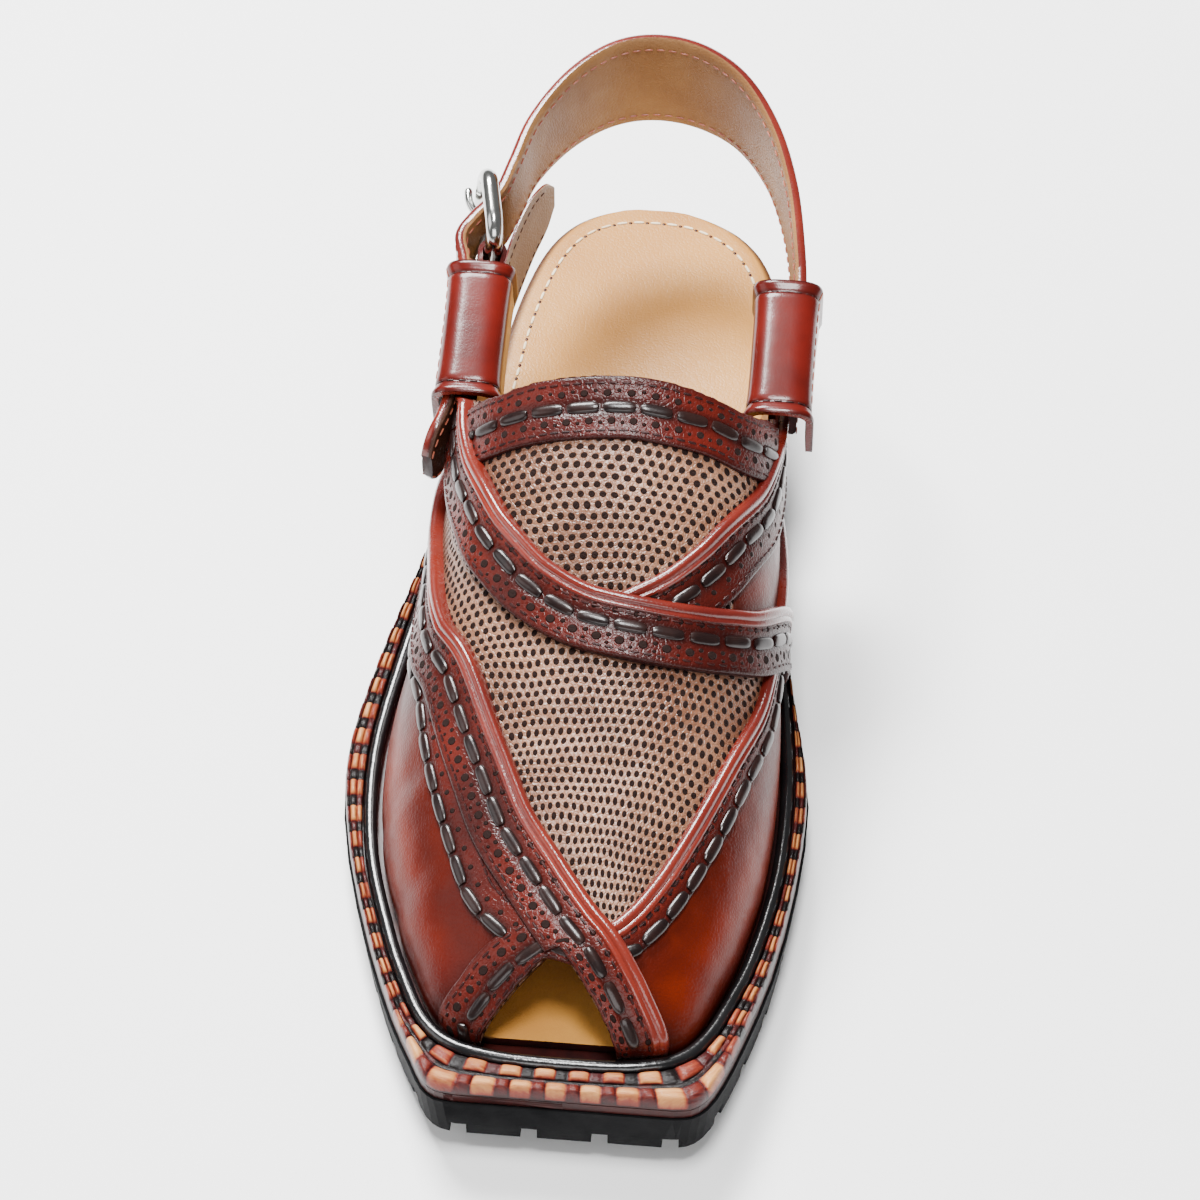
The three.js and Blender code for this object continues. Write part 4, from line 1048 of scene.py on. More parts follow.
@dataclass(frozen=True)
class StrapPlan:
    """A strap's route over the last and its section.

    route holds across and along of its middle line. left and right are the shares of the half width on its
    two sides, step is its height over the panels.
    """

    name: str
    route: tuple[tuple[float, float], ...]
    step: float
    bead: Bead
    left: float = 1.0
    right: float = 1.0
    finish: Finish = Finish.STRAP


STRAPS = (
    StrapPlan(
        "collar_band",
        (
            (-0.6, 0.21), (-0.46, 0.2215), (-0.34, 0.2255), (-0.16, 0.227), (0.01, 0.225), (0.16, 0.2255),
            (0.3, 0.223), (0.45, 0.219), (0.62, 0.2),
        ),
        1.3, Bead.NONE, finish=Finish.BAND,
    ),
    StrapPlan(
        "medial_instep_strap",
        (
            (0.8, 0.13), (0.76, 0.155), (0.67, 0.21), (0.57, 0.268), (0.41, 0.321), (0.31, 0.348),
            (0.2, 0.371), (0.06, 0.392),
        ),
        1.3, Bead.RIGHT,
    ),
    StrapPlan(
        "medial_toe_strap",
        (
            (0.92, 0.18), (0.86, 0.255), (0.78, 0.325), (0.72, 0.378), (0.67, 0.421), (0.57, 0.476),
            (0.46, 0.553), (0.38, 0.607), (0.29, 0.663), (0.19, 0.7), (0.03, 0.712),
        ),
        1.3, Bead.RIGHT, left=0.2,
    ),
    StrapPlan(
        "lateral_toe_end",
        (
            (0.03, 0.712), (-0.12, 0.698), (-0.22, 0.722), (-0.31, 0.757), (-0.42, 0.81), (-0.6, 0.87),
            (-0.85, 0.93), (-1.0, 0.955),
        ),
        1.3, Bead.NONE,
    ),
    StrapPlan(
        "lateral_panel_edge",
        (
            (-1.04, 0.15), (-0.98, 0.2), (-0.92, 0.25), (-0.82, 0.325), (-0.7, 0.378), (-0.6, 0.42),
            (-0.55, 0.468), (-0.51, 0.507), (-0.46, 0.559), (-0.42, 0.602), (-0.38, 0.633), (-0.29, 0.672),
            (-0.2, 0.7),
        ),
        1.3, Bead.NONE, right=0.2,
    ),
    StrapPlan(
        "lateral_toe_strap",
        (
            (-1.04, 0.055), (-0.95, 0.125), (-0.86, 0.2), (-0.8, 0.27), (-0.7, 0.328), (-0.58, 0.378),
            (-0.46, 0.418), (-0.35, 0.492), (-0.27, 0.551), (-0.17, 0.6), (-0.04, 0.668), (0.07, 0.715),
            (0.18, 0.773), (0.36, 0.872), (0.56, 0.945), (0.85, 0.995),
        ),
        2.55, Bead.LEFT,
    ),
    StrapPlan(
        "instep_strap",
        (
            (-0.74, 0.1), (-0.70, 0.135), (-0.66, 0.172), (-0.62, 0.21), (-0.54, 0.262), (-0.42, 0.312),
            (-0.3, 0.345), (-0.19, 0.37), (-0.05, 0.39), (0.12, 0.395), (0.28, 0.391), (0.42, 0.381),
            (0.575, 0.363), (0.8, 0.32), (0.98, 0.286),
        ),
        2.55, Bead.LEFT,
    ),
)


@dataclass(frozen=True)
class StrapSizes:
    """Sizes of a strap's section and of what is sewn to it."""

    edge_round: float = 0.8
    roll: float = 1.35
    roll_place: float = 6.75
    thin_roll: float = 0.75
    thin_roll_place: float = 4.75
    trough: float = 0.3
    roll_rise: float = 0.95
    thin_roll_rise: float = 0.55
    lace_pitch: float = 9.0
    lace_length: float = 8.2
    lace_width: float = 3.1
    lace_height: float = 1.4
    stitch_pitch: float = 2.9
    stitch_length: float = 2.3
    stitch_width: float = 0.7
    stitch_height: float = 0.65
    trough_half: float = 1.9
    section_step: float = 1.1
    column_step: float = 0.42
    under: float = 0.5


class Strap:
    """One strap: its surface over the last, with rolled edge, laced slots and stitches.

    Where less than LEAST_SHARE of its half width is left beside an opening, the strap ends. It sinks into the
    panels between the two heights of TUCK over the midsole, and lies CLEAR of them.
    """

    LEAST_SHARE = 0.34
    TUCK = (2.0, 8.0)
    CLEAR = 0.1

    def __init__(self, last: Last, plan: StrapPlan, sizes: StrapSizes) -> None:
        """Lays the strap's middle line and the places on both sides of it.

        Args:
            last: the surface that it lies on.
            plan: its route and section.
            sizes: sizes of the section.
        """
        self.last = last
        self.plan = plan
        self.sizes = sizes
        route = np.array(plan.route)
        dense = np.linspace(0, len(route) - 1, 60 * len(route))
        places = spline_rows(route, dense)
        travelled = lengths_along(last.point(places[:, 0], places[:, 1]))
        self.length = float(travelled[-1])
        self.u = np.linspace(0, self.length, int(self.length / sizes.section_step) + 1)
        self.middle = read_rows(self.u, travelled, places)
        forward = directions(last.point(self.middle[:, 0], self.middle[:, 1]))
        self.side = unit(np.cross(last.normal(self.middle[:, 0], self.middle[:, 1]), forward))
        self.low = -STRAP_WIDTH / 2 * plan.right
        self.high = STRAP_WIDTH / 2 * plan.left
        self.low_share = np.ones(len(self.u))
        self.high_share = np.ones(len(self.u))
        self._trim()

    def _trim(self) -> None:
        """Narrows the strap where it would run into the collar's or the toe's opening, and ends it there."""
        steps = np.linspace(0, 1, 25)
        gone = {}
        for edge in (self.low, self.high):
            uu, vv = np.meshgrid(self.u, steps * edge, indexing="ij")
            place = self.places(uu, vv)
            gone[edge] = in_an_opening(self.last.point(place[..., 0], place[..., 1]))
        shares = []
        for edge in (self.low, self.high):
            cut = np.maximum(np.argmax(gone[edge], axis=1) - 1, 0)
            shares.append(np.where(gone[edge].any(axis=1), steps[cut], 1.0))
        kept = np.flatnonzero(np.minimum(*shares) > self.LEAST_SHARE)
        first, final = kept[0], kept[-1] + 1
        shares = [np.maximum(share[first:final], self.LEAST_SHARE) for share in shares]
        self.low_share, self.high_share = shares
        self.start = self.u[first]
        self.u, self.middle, self.side = self.u[first:final], self.middle[first:final], self.side[first:final]
        self.length = float(self.u[-1])

    def places(self, u: Array, v: Array) -> Array:
        """Places on the last at distances u along and v across the strap."""
        share = np.where(v > 0, np.interp(u, self.u, self.high_share), np.interp(u, self.u, self.low_share))
        v = v * share
        side = unit(read_rows(u, self.u, self.side))
        return self.last.walk(read_rows(u, self.u, self.middle), side, v)

    def rise(self, v: Array) -> Array:
        """Height of the section over the panels at v.

        The base has rounded edges and a shallow trough for the lace; the rolls are half circles over it, and
        the greatest of the three holds.
        """
        s = self.sizes
        half = STRAP_WIDTH / 2
        reach = np.where(v > 0, half * self.plan.left, half * self.plan.right)
        inset = np.clip(reach - np.abs(v), 0, s.edge_round) / s.edge_round
        base = self.plan.step - s.edge_round + s.edge_round * np.sqrt(1 - (1 - inset) ** 2)
        base = base - s.trough * np.exp(-((v / s.trough_half) ** 4))
        if self.plan.bead is Bead.NONE:
            return base
        w = v * self.plan.bead.value
        rolls = ((s.roll_place, s.roll, s.roll_rise), (s.thin_roll_place, s.thin_roll, s.thin_roll_rise))
        for place, radius, rise in rolls:
            inside = radius**2 - (w - place) ** 2
            roll = self.plan.step + rise - radius + np.sqrt(np.maximum(inside, 0))
            base = np.maximum(base, np.where(inside > 0, roll, -9))
        return base

    def surface(self, u: Array, v: Array) -> Array:
        """Points of the strap's outer face, sunk to the panel near the foot of the wall."""
        place = self.places(u, v)
        point = self.last.point(place[..., 0], place[..., 1])
        tuck = smoothstep(point[..., 2] - midsole_top(point[..., 1]), *self.TUCK)
        height = tuck * self.rise(v) + self.CLEAR
        return point + self.last.normal(place[..., 0], place[..., 1]) * height[..., None]

    def frames(self, u: Array, v: float) -> tuple[Array, Array]:
        """Points on the outer face at one v, with their forward, side and upward axes."""
        here = self.surface(u, np.full_like(u, v))
        ahead = self.surface(u + 0.5, np.full_like(u, v))
        beside = self.surface(u, np.full_like(u, v + 0.3))
        forward = unit(ahead - here)
        up = unit(np.cross(forward, beside - here))
        return here, np.stack([forward, np.cross(up, forward), up], axis=1)

    def build(self, shop: Workshop) -> None:
        """Makes the strap's body, piping, laces and stitches as one piece."""
        s = self.sizes
        plan = self.plan
        low, high = self.low, self.high
        skin = Skin()
        ends = np.array([0, 0.12, 0.35, 0.7, 1.1])
        inner = np.arange(low + 1.6, high - 1.5, s.column_step)
        v = np.concatenate([low + ends, inner, (high - ends)[::-1]])
        uu, vv = np.meshgrid(self.u, v, indexing="ij")
        top = self.surface(uu, vv)
        under_v = np.linspace(high, low, 7)
        ub, vb = np.meshgrid(self.u, under_v, indexing="ij")
        place = self.places(ub, vb)
        under = self.last.raised(place[..., 0], place[..., 1], np.full(ub.shape, -s.under))
        pattern = np.stack([uu, vv], axis=-1)
        # Burnish and painted shade at the strap's edges, painted shade beside the raised lace.
        edge = smoothstep(np.minimum(vv - low, high - vv), 2.0, 0.2)
        lace_line = 0.75 * np.exp(-((vv / 2.6) ** 4))
        shade = np.clip(0.55 * edge + lace_line * 0.8, 0, 0.9)
        parts = [(slice(None), 0)]
        if plan.bead is not Bead.NONE:
            rolled = np.flatnonzero(v * plan.bead.value >= s.thin_roll_place - s.thin_roll)
            k, slots = (rolled[0], (0, 1)) if plan.bead is Bead.LEFT else (rolled[-1], (1, 0))
            parts = list(zip((slice(k + 1), slice(k, None)), slots))
        for part, slot in parts:
            skin.grid(top[:, part], pattern[:, part], shade[:, part] * (0.3 if slot else 1.0), slot)
        skin.grid(under, slot=2, shade=0.3)
        sides = (((top[:, -1:], under[:, :1]), Bead.LEFT), ((under[:, -1:], top[:, :1]), Bead.RIGHT))
        for edge, bead in sides:
            skin.grid(np.concatenate(edge, axis=1), slot=1 if plan.bead is bead else 2, shade=0.4)
        for row in (0, -1):
            skin.cap(np.concatenate([top[row], under[row]]), slot=2, flip=row == 0)
        self._lace(skin)
        self._stitches(skin)
        finishes = [plan.finish, Finish.PIPING, Finish.EDGE, Finish.LACE, Finish.THREAD]
        shop.hang(skin, plan.name, finishes, "upper")

    def _lace(self, skin: Skin) -> None:
        """Adds the domed parts of the lace that show between its slots."""
        s = self.sizes
        u = np.arange(self.start + s.lace_pitch * 0.5, self.length - 2, s.lace_pitch)
        here, axes = self.frames(u, 0.0)
        shape = bead_shape(s.lace_length, s.lace_width, s.lace_height, 3.5, 11, 12)
        skin.copies(shape, here + axes[:, 2] * 0.15, axes, slot=3)

    def _stitches(self, skin: Skin) -> None:
        """Adds the rows of stitches along both edges and beside the rolled edge."""
        s = self.sizes
        rows = []
        for edge, sign, share in ((self.low, 1, self.plan.right), (self.high, -1, self.plan.left)):
            if share < 0.5:
                continue
            beaded = self.plan.bead.value == -sign
            rows.append(sign * (s.thin_roll_place - s.thin_roll - 0.7) * -1 if beaded else edge + sign * 1.9)
        shape = bead_shape(s.stitch_length, s.stitch_width, s.stitch_height, 3.0, 6, 6)
        for v in rows:
            u = np.arange(self.start + 1.5, self.length - 1, s.stitch_pitch)
            here, axes = self.frames(u, v)
            skin.copies(shape, here + axes[:, 2] * 0.02, axes, slot=4)


class Upper:
    """The panels under the straps: one shell of leather, trimmed at collar, wings and open toe.

    LATERAL_PANEL, MEDIAL_PANEL, WEDGE and WINGS are the corners of the smooth panels on the last. CREASES
    holds start and end in plan, depth and width; each crease waves by WAVE, a distance and a rate. COLUMNS
    and ROWS are the points across and along. BURNISH_AND_SHADE is how dark smooth and perforated leather get
    beside a strap: burnish and painted shade.
    """

    LATERAL_PANEL = np.array([
        (-1.2, 0.1), (-0.95, 0.2), (-0.80, 0.325), (-0.62, 0.42), (-0.51, 0.52), (-0.42, 0.602),
        (-0.29, 0.672), (-0.12, 0.70), (-0.3, 0.76), (-0.6, 0.87), (-1.2, 0.95),
    ])
    MEDIAL_PANEL = np.array([
        (1.2, 0.1), (0.93, 0.18), (0.78, 0.325), (0.67, 0.421), (0.57, 0.476), (0.38, 0.607), (0.19, 0.7),
        (0.1, 0.72), (0.25, 0.8), (0.56, 0.945), (1.2, 1.1),
    ])
    WEDGE = np.array([
        (0.8, 0.0), (0.67, 0.21), (0.57, 0.268), (0.41, 0.321), (0.45, 0.38), (0.9, 0.36), (1.2, 0.0),
    ])
    WINGS = np.array([
        (-1.2, -0.2), (1.2, -0.2), (1.2, 0.2), (0.62, 0.2), (0.6, 0.12), (-0.6, 0.12), (-0.62, 0.2),
        (-1.2, 0.24),
    ])
    CREASES = (
        (-20.0, -68.0, 12.0, -60.0, 0.4, 2.4), (-8.0, -80.0, 22.0, -66.0, 0.45, 2.6),
        (-6.0, -94.0, 14.0, -84.0, 0.35, 2.2), (-26.0, -48.0, 4.0, -52.0, 0.35, 2.4),
        (8.0, -48.0, 32.0, -38.0, 0.4, 2.4), (-12.0, -36.0, 20.0, -30.0, 0.3, 2.6),
        (-30.0, -22.0, -6.0, -34.0, 0.35, 2.6), (-20.0, 14.0, 2.0, 8.0, 0.3, 2.4),
        (8.0, 14.0, 26.0, 6.0, 0.3, 2.4), (-50.0, -72.0, -32.0, -58.0, 0.4, 4.0),
        (-44.0, -98.0, -26.0, -84.0, 0.4, 4.0), (32.0, -86.0, 48.0, -66.0, 0.4, 4.0),
        (20.0, -112.0, 38.0, -98.0, 0.3, 3.6),
    )
    WAVE = (1.2, 7.0)
    COLUMNS = 181
    ROWS = 150
    BURNISH_AND_SHADE = (0.45, 0.25)

    def __init__(self, last: Last) -> None:
        """Takes the last that the panels lie on."""
        self.last = last

    def creases(self, x: Array, y: Array) -> Array:
        """Depth of the creases in plan: each is a trough along its line, deepest in its middle.

        Depth times exp(-(distance / width)^2) times a dome along the line, with a soft ridge beside it.
        """
        total = np.zeros(x.shape)
        for x0, y0, x1, y1, depth, width in self.CREASES:
            along = np.array([x1 - x0, y1 - y0])
            length = np.hypot(*along)
            forward = along / length
            t = ((x - x0) * forward[0] + (y - y0) * forward[1]) / length
            off = (x - x0) * forward[1] - (y - y0) * forward[0] + self.WAVE[0] * np.sin(t * self.WAVE[1])
            dome = np.clip(1 - (2 * t - 1) ** 2, 0, 1)
            trough, ridge = np.exp(-((off / width) ** 2)), np.exp(-(((off - 2 * width) / width) ** 2))
            total += depth * dome * (trough - 0.5 * ridge)
        return total

    def _gone(self, across: Array, along: Array) -> Array:
        """Whether each place of a table of across and along lies in an opening."""
        return in_an_opening(self.last.point(*np.meshgrid(across, along, indexing="ij")))

    def heel_border(self, across: Array) -> Array:
        """Where each line of constant across leaves the collar and wings, searched on a fine table."""
        along = np.linspace(0.0, 0.5, 900)
        gone = self._gone(across, along)
        last_gone = gone.shape[1] - 1 - np.argmax(gone[:, ::-1], axis=1)
        return along[np.minimum(last_gone + 1, len(along) - 1)]

    def toe_border(self, across: Array) -> Array:
        """Where each line of constant across meets the open toe or the foot of the wall."""
        along = np.linspace(0.6, 1.0, 700)
        gone = self._gone(across, along)
        first = np.where(gone.any(axis=1), np.argmax(gone, axis=1), len(along) - 1)
        return along[first]

    def build(self, shop: Workshop) -> None:
        """Makes the shell: the outer face in two finishes, the lining and the edges."""
        across = np.linspace(-1, 1, self.COLUMNS)
        low, high = self.heel_border(across), self.toe_border(across)
        w = np.linspace(0, 1, self.ROWS)
        a = np.broadcast_to(across[:, None], (len(across), len(w)))
        s = low[:, None] + (high - low)[:, None] * w
        normal = self.last.normal(a, s)
        flat = self.last.point(a, s)
        outer = flat - normal * self.creases(flat[..., 0], flat[..., 1])[..., None]
        outer[[0, -1], :, 2] += GAP
        inner = flat - normal * WALL
        inner[[0, -1], :, 2] = outer[[0, -1], :, 2]
        skin = Skin()
        steps = np.linalg.norm(np.diff(outer, axis=0), axis=-1)
        u = np.cumsum(np.concatenate([np.zeros((1, len(w))), steps]), axis=0)
        u -= u[len(across) // 2]
        ridge = self.last.point(np.zeros(400), np.linspace(0.1, 0.98, 400))
        v = np.interp(-outer[..., 1], -ridge[:, 1], lengths_along(ridge))
        pattern = np.stack([u, v], axis=-1)
        # Darker towards the foot of the wall; burnish and painted shade beside the straps.
        over = outer[..., 2] - midsole_top(outer[..., 1])
        shade = 0.45 * smoothstep(over, 14.0, 2.0)
        smooth = self._smooth(a, s)
        near = self._near_straps(a, s)
        shade = np.clip(shade + near * np.where(smooth, *self.BURNISH_AND_SHADE), 0, 0.85)
        skin.shell(outer, inner, (0, 2, 3), pattern=pattern, shade=shade, flip=True)
        skin.slots[0] = smooth[:-1, :-1].ravel().astype(int)
        finishes = [Finish.PERFORATED, Finish.SMOOTH, Finish.LINING, Finish.EDGE]
        shop.hang(skin, "upper_panels", finishes, "upper")

    def _smooth(self, a: Array, s: Array) -> Array:
        """Whether a place is on a smooth panel: lateral, medial, the wedge at the instep or a wing."""
        panels = (self.LATERAL_PANEL, self.MEDIAL_PANEL, self.WEDGE, self.WINGS)
        return np.any([inside(panel, a, s) for panel in panels], axis=0)

    def _near_straps(self, a: Array, s: Array) -> Array:
        """Burnish and painted shade beside the straps: 1 at a strap's edge, falling to 0 a few millimetres
        away.
        """
        point = self.last.point(a, s).reshape(-1, 3)
        nearest = np.full(len(point), 99.0)
        for plan in STRAPS:
            route = np.array(plan.route)
            dense = np.linspace(0, len(route) - 1, 60)
            line = self.last.point(*spline_rows(route, dense).T)
            distance = np.sqrt(((point[:, None] - line[None]) ** 2).sum(-1)).min(axis=1)
            nearest = np.minimum(nearest, distance)
        return smoothstep(nearest, 15.0, 7.5).reshape(a.shape)


# The sole


def offset_chain(chain: Array, distance: Array | float) -> Array:
    """Moves a plan path to its right-hand side."""
    return chain + right_of(chain) * np.asarray(distance).reshape(-1, 1)


class Sole:
    """Rubber sole, midsole, insole, rand and braided welt.

    SIDE_ROWS and TOE_ROWS are the borders of the welt's rows, from its outer edge to the rand, at the sides
    and at the toe; TOE_HALF is half the toe's length. WRAP_SHARE is how much of the pitch a wrap takes,
    OUTER_ROUND the share of the width that is rounded down. ROW_SHIFT is how far each row's wraps lie along,
    ROW_TINT how light they are and ROW_SPREAD how much that varies; TOE_SHIFT and TOE_TINT come on top at the
    toe. RISES are the rises of a wrap, of the toe's cord and of the black laces, in shares of WELT_HEIGHT.
    DRAWS is how many wraps are drawn before they repeat. RAND_RUN is where the rand starts and ends along the
    last. BOWL is the hollow at the heel: its middle, its half widths and its depth. The insole lies
    HEEL_INSET inside the sole's edge, and its own edge falls by EDGE_DROP over EDGE_ROUND. SEAM_INSET and
    SEAM_PITCH place its stitches. The shade under the upper comes up over SHADED_BACK and goes again over
    SHADED_TOE.
    """

    SIDE_ROWS = (0.0, 0.27, 0.64, 1.0)
    TOE_ROWS = (0.0, 0.45, 0.58, 1.0)
    WRAP_SHARE = 0.62
    OUTER_ROUND = 0.13
    TOE_HALF = 44.0
    ROW_SHIFT = np.array([0.0, 0.04, 0.02])
    TOE_SHIFT = np.array([0.0, 0.0, 0.35])
    ROW_TINT = np.array([0.36, 0.72, 0.56])
    TOE_TINT = np.array([0.42, -0.6, 0.1])
    ROW_SPREAD = np.array([0.34, 0.34, 0.5])
    RISES = (0.36, 0.33, 0.2)
    DRAWS = 400
    RAND_RUN = (0.17, 0.985)
    BOWL = (3.0, 88.0, 22.0, 42.0, 1.1)
    HEEL_INSET = 1.2
    EDGE_DROP = 0.7
    EDGE_ROUND = 1.6
    SEAM_INSET = 6.4
    SEAM_PITCH = 4.6
    SHADED_BACK = (22.0, -6.0)
    SHADED_TOE = (-98.0, -114.0)

    def __init__(self, last: Last) -> None:
        """Takes the last and lays the line of the rand round the foot of the upper."""
        self.last = last
        share = np.linspace(*self.RAND_RUN, 90)
        ends = np.linspace(-0.55, 0.55, 9)
        foot = np.concatenate([
            last.point(np.full(90, -1.0), share)[:, :2],
            last.point(ends, np.ones(9))[:, :2],
            last.point(np.full(90, 1.0), share)[::-1, :2],
        ])
        line = resample(offset_chain(foot, RAND_RADIUS + 4 * GAP), 1.0)
        longer = np.concatenate([np.repeat(line[:1], 5, 0), line, np.repeat(line[-1:], 5, 0)])
        self.line = averaged(longer, 11)

    def rand(self, shop: Workshop) -> None:
        """A round cord along the rand line: a circle carried along it."""
        z = midsole_top(self.line[:, 1]) + GAP + RAND_RADIUS + 1
        skin = Skin()
        skin.tube(wire(np.column_stack([self.line, z]), RAND_RADIUS, UPWARDS, 14))
        shop.hang(skin, "rand_cord", [Finish.CORD], "rand")

    def reach(self, points: Array, outward: Array) -> Array:
        """Distance from plan points to the sole's edge, straight outwards."""
        share = np.linspace(0.2, 1.0, 200)
        chain = np.concatenate([outline(-1, share), outline(1, share)[::-1]])
        a, edge = chain[:-1], np.diff(chain, axis=0)
        det = -outward[:, None, 0] * edge[None, :, 1] + outward[:, None, 1] * edge[None, :, 0]
        det = np.where(np.abs(det) < 1e-9, 1e-9, det)
        dx = a[None, :, 0] - points[:, None, 0]
        dy = a[None, :, 1] - points[:, None, 1]
        distance = (-dx * edge[None, :, 1] + dy * edge[None, :, 0]) / det
        along = (outward[:, None, 0] * dy - outward[:, None, 1] * dx) / det
        good = (distance > 0) & (along >= 0) & (along <= 1)
        return np.where(good, distance, 99.0).min(axis=1)

    def welt(self, shop: Workshop) -> None:
        """Three rows of lace wraps side by side, each a low dome, with a black lace between the wraps."""
        line = resample(self.line, 0.4)
        outward = right_of(line)
        near = RAND_RADIUS + GAP
        reach = self.reach(line, outward) - 2 * GAP
        q = np.concatenate([self.OUTER_ROUND * (1 - np.cos(np.linspace(0, np.pi / 2, 7)[:-1])),
                            np.linspace(self.OUTER_ROUND, 1, 34)])
        uu, qq = np.meshgrid(lengths_along(line), q, indexing="ij")
        height, shade = self._wraps(uu, qq)
        out = reach[:, None] + (near - reach[:, None]) * qq
        x = line[:, None, 0] + outward[:, None, 0] * out
        y = line[:, None, 1] + outward[:, None, 1] * out
        foot = midsole_top(y) + GAP
        top = np.stack([x, y, foot + height], axis=-1)
        low = np.stack([x, y, foot], axis=-1)
        skin = Skin()
        skin.shell(top, low, (0, 0, 1), pattern=np.stack([uu, out], axis=-1), shade=shade, flip=True)
        shop.hang(skin, "welt_braid", [Finish.WELT, Finish.EDGE], "welt", sharp=60.0)

    def _wraps(self, uu: Array, qq: Array) -> tuple[Array, Array]:
        """The braid's relief and colours.

        Height over the midsole: a half circle across each row, times a dome along each wrap; the black parts
        lie lower. The shade picks tan, maroon or black for each wrap, and it darkens towards a wrap's ends
        and a row's sides as painted shade between them.

        Args:
            uu: distances along the welt.
            qq: shares of the way from its outer edge to the rand.

        Returns:
            Heights and shades.
        """
        rng = np.random.default_rng(SEED)
        toe = np.exp(-(((uu - uu[-1, 0] / 2) / self.TOE_HALF) ** 6))
        borders = [self.SIDE_ROWS[k] + (self.TOE_ROWS[k] - self.SIDE_ROWS[k]) * toe for k in range(4)]
        row = (qq > borders[1]).astype(int) + (qq > borders[2])
        left = np.choose(row, borders[:3])
        inside_row = np.clip((qq - left) / (np.choose(row, borders[1:]) - left), 0, 1)
        shift = toe * self.TOE_SHIFT[row] + self.ROW_SHIFT[row]
        place = uu / WRAP_PITCH + shift
        wrap = np.floor(place).astype(int)
        t = place - wrap
        on_wrap = t < self.WRAP_SHARE
        t_in = np.where(on_wrap, t / self.WRAP_SHARE, (t - self.WRAP_SHARE) / (1 - self.WRAP_SHARE))
        round_across = np.sqrt(np.clip(1 - (2 * inside_row - 1) ** 2, 0, 1))
        round_along = np.clip(1 - np.abs(2 * t_in - 1) ** 4, 0, 1)
        cord = (row == 0) & (toe > 0.5)
        strip = (row == 1) & (toe > 0.5)
        wrap_rise, cord_rise, low_rise = self.RISES
        rise = np.where(on_wrap, wrap_rise, np.where(cord, cord_rise, low_rise))
        height = 0.6 + np.where(strip, 0.1, rise * (0.35 + 0.65 * round_along)) * round_across**0.8
        fall = np.clip(1 - qq / self.OUTER_ROUND, 0, 1)
        height = WELT_HEIGHT * height * (0.22 + 0.78 * np.sqrt(1 - fall**2))
        draws = self.DRAWS
        tone = rng.random((3, draws))[row, wrap % draws]
        streak = rng.random((3, draws, 5))[row, wrap % draws, np.clip((inside_row * 5).astype(int), 0, 4)]
        base = self.ROW_TINT[row] + toe * self.TOE_TINT[row]
        spread = self.ROW_SPREAD[row] * np.where(strip, 0.1, 1.0)
        tint = base + spread * (0.6 * tone + 0.4 * streak - 0.35)
        dark = np.where(cord, 0.42, np.where((wrap + row) % 3 == 0, 0.3, 0.08))
        shade = np.where(on_wrap, tint, dark)
        # Painted shade towards the ends of each wrap and the sides of each row.
        shade = shade * (0.5 + 0.5 * np.clip(round_along * 1.8, 0, 1)) * (0.6 + 0.4 * round_across)
        return height, shade

    def insole(self, shop: Workshop) -> None:
        """A plate along the sole's edge behind the wings and inside the upper before them, a little hollow.

        Its top sinks by a shallow bowl at the heel, and its edge is rounded off.
        """
        wing_end = COLLAR[-1, 0] * LENGTH
        heel_share = np.linspace(0, 0.415, 60)
        front_share = np.linspace(0.12, 0.97, 90)
        chains = []
        for side in (-1, 1):
            heel = offset_chain(outline(side, heel_share), side * self.HEEL_INSET)
            front = offset_chain(self.last.point(np.full(90, float(side)), front_share)[:, :2],
                                 side * (WALL + 3 * GAP))
            corner = np.array([[heel[-1, 0], wing_end + 5 * GAP], [front[0, 0], wing_end + 3 * GAP]])
            chains.append(np.concatenate([heel, corner, front]))
        lateral, medial = chains
        q = np.concatenate([[0, 0.012, 0.035], np.linspace(0.07, 0.93, 24), [0.965, 0.988, 1]])
        x = lateral[:, None, 0] + (medial - lateral)[:, None, 0] * q
        y = lateral[:, None, 1] + (medial - lateral)[:, None, 1] * q
        edge = np.minimum(q, 1 - q) * (medial[:, 0] - lateral[:, 0])[:, None]
        from_heel = lengths_along(lateral)[:, None] * np.ones_like(x)
        drop = self.EDGE_DROP * (1 - smoothstep(np.minimum(edge, from_heel), 0.0, self.EDGE_ROUND))
        bowl = self.bowl(x, y)
        z = insole_top(y) - drop - bowl
        top = np.stack([x, y, z], axis=-1)
        low = np.stack([x, y, midsole_top(y) + GAP], axis=-1)
        # The dark rim is the edge's own colour; painted shade lies under the upper and fades out in the open
        # toe; the heel's hollow is darker too.
        rim = smoothstep(np.minimum(edge, from_heel), 1.9, 0.8)
        under_upper = 0.5 * smoothstep(y, *self.SHADED_BACK) * (1 - smoothstep(y, *self.SHADED_TOE))
        shade = np.clip(0.3 * bowl + 0.9 * rim + under_upper, 0, 0.95)
        skin = Skin()
        skin.shell(top, low, (0, 0, 1), shade=shade, flip=True)
        self._insole_stitches(skin)
        finishes = [Finish.INSOLE, Finish.EDGE, Finish.PALE_THREAD]
        shop.hang(skin, "insole_leather", finishes, "insole")

    def bowl(self, x: Array, y: Array) -> Array:
        """Depth of the heel's hollow: a Gaussian of the distances from its middle."""
        middle_x, middle_y, wide, long, depth = self.BOWL
        return depth * np.exp(-(((x - middle_x) / wide) ** 2 + ((y - middle_y) / long) ** 2))

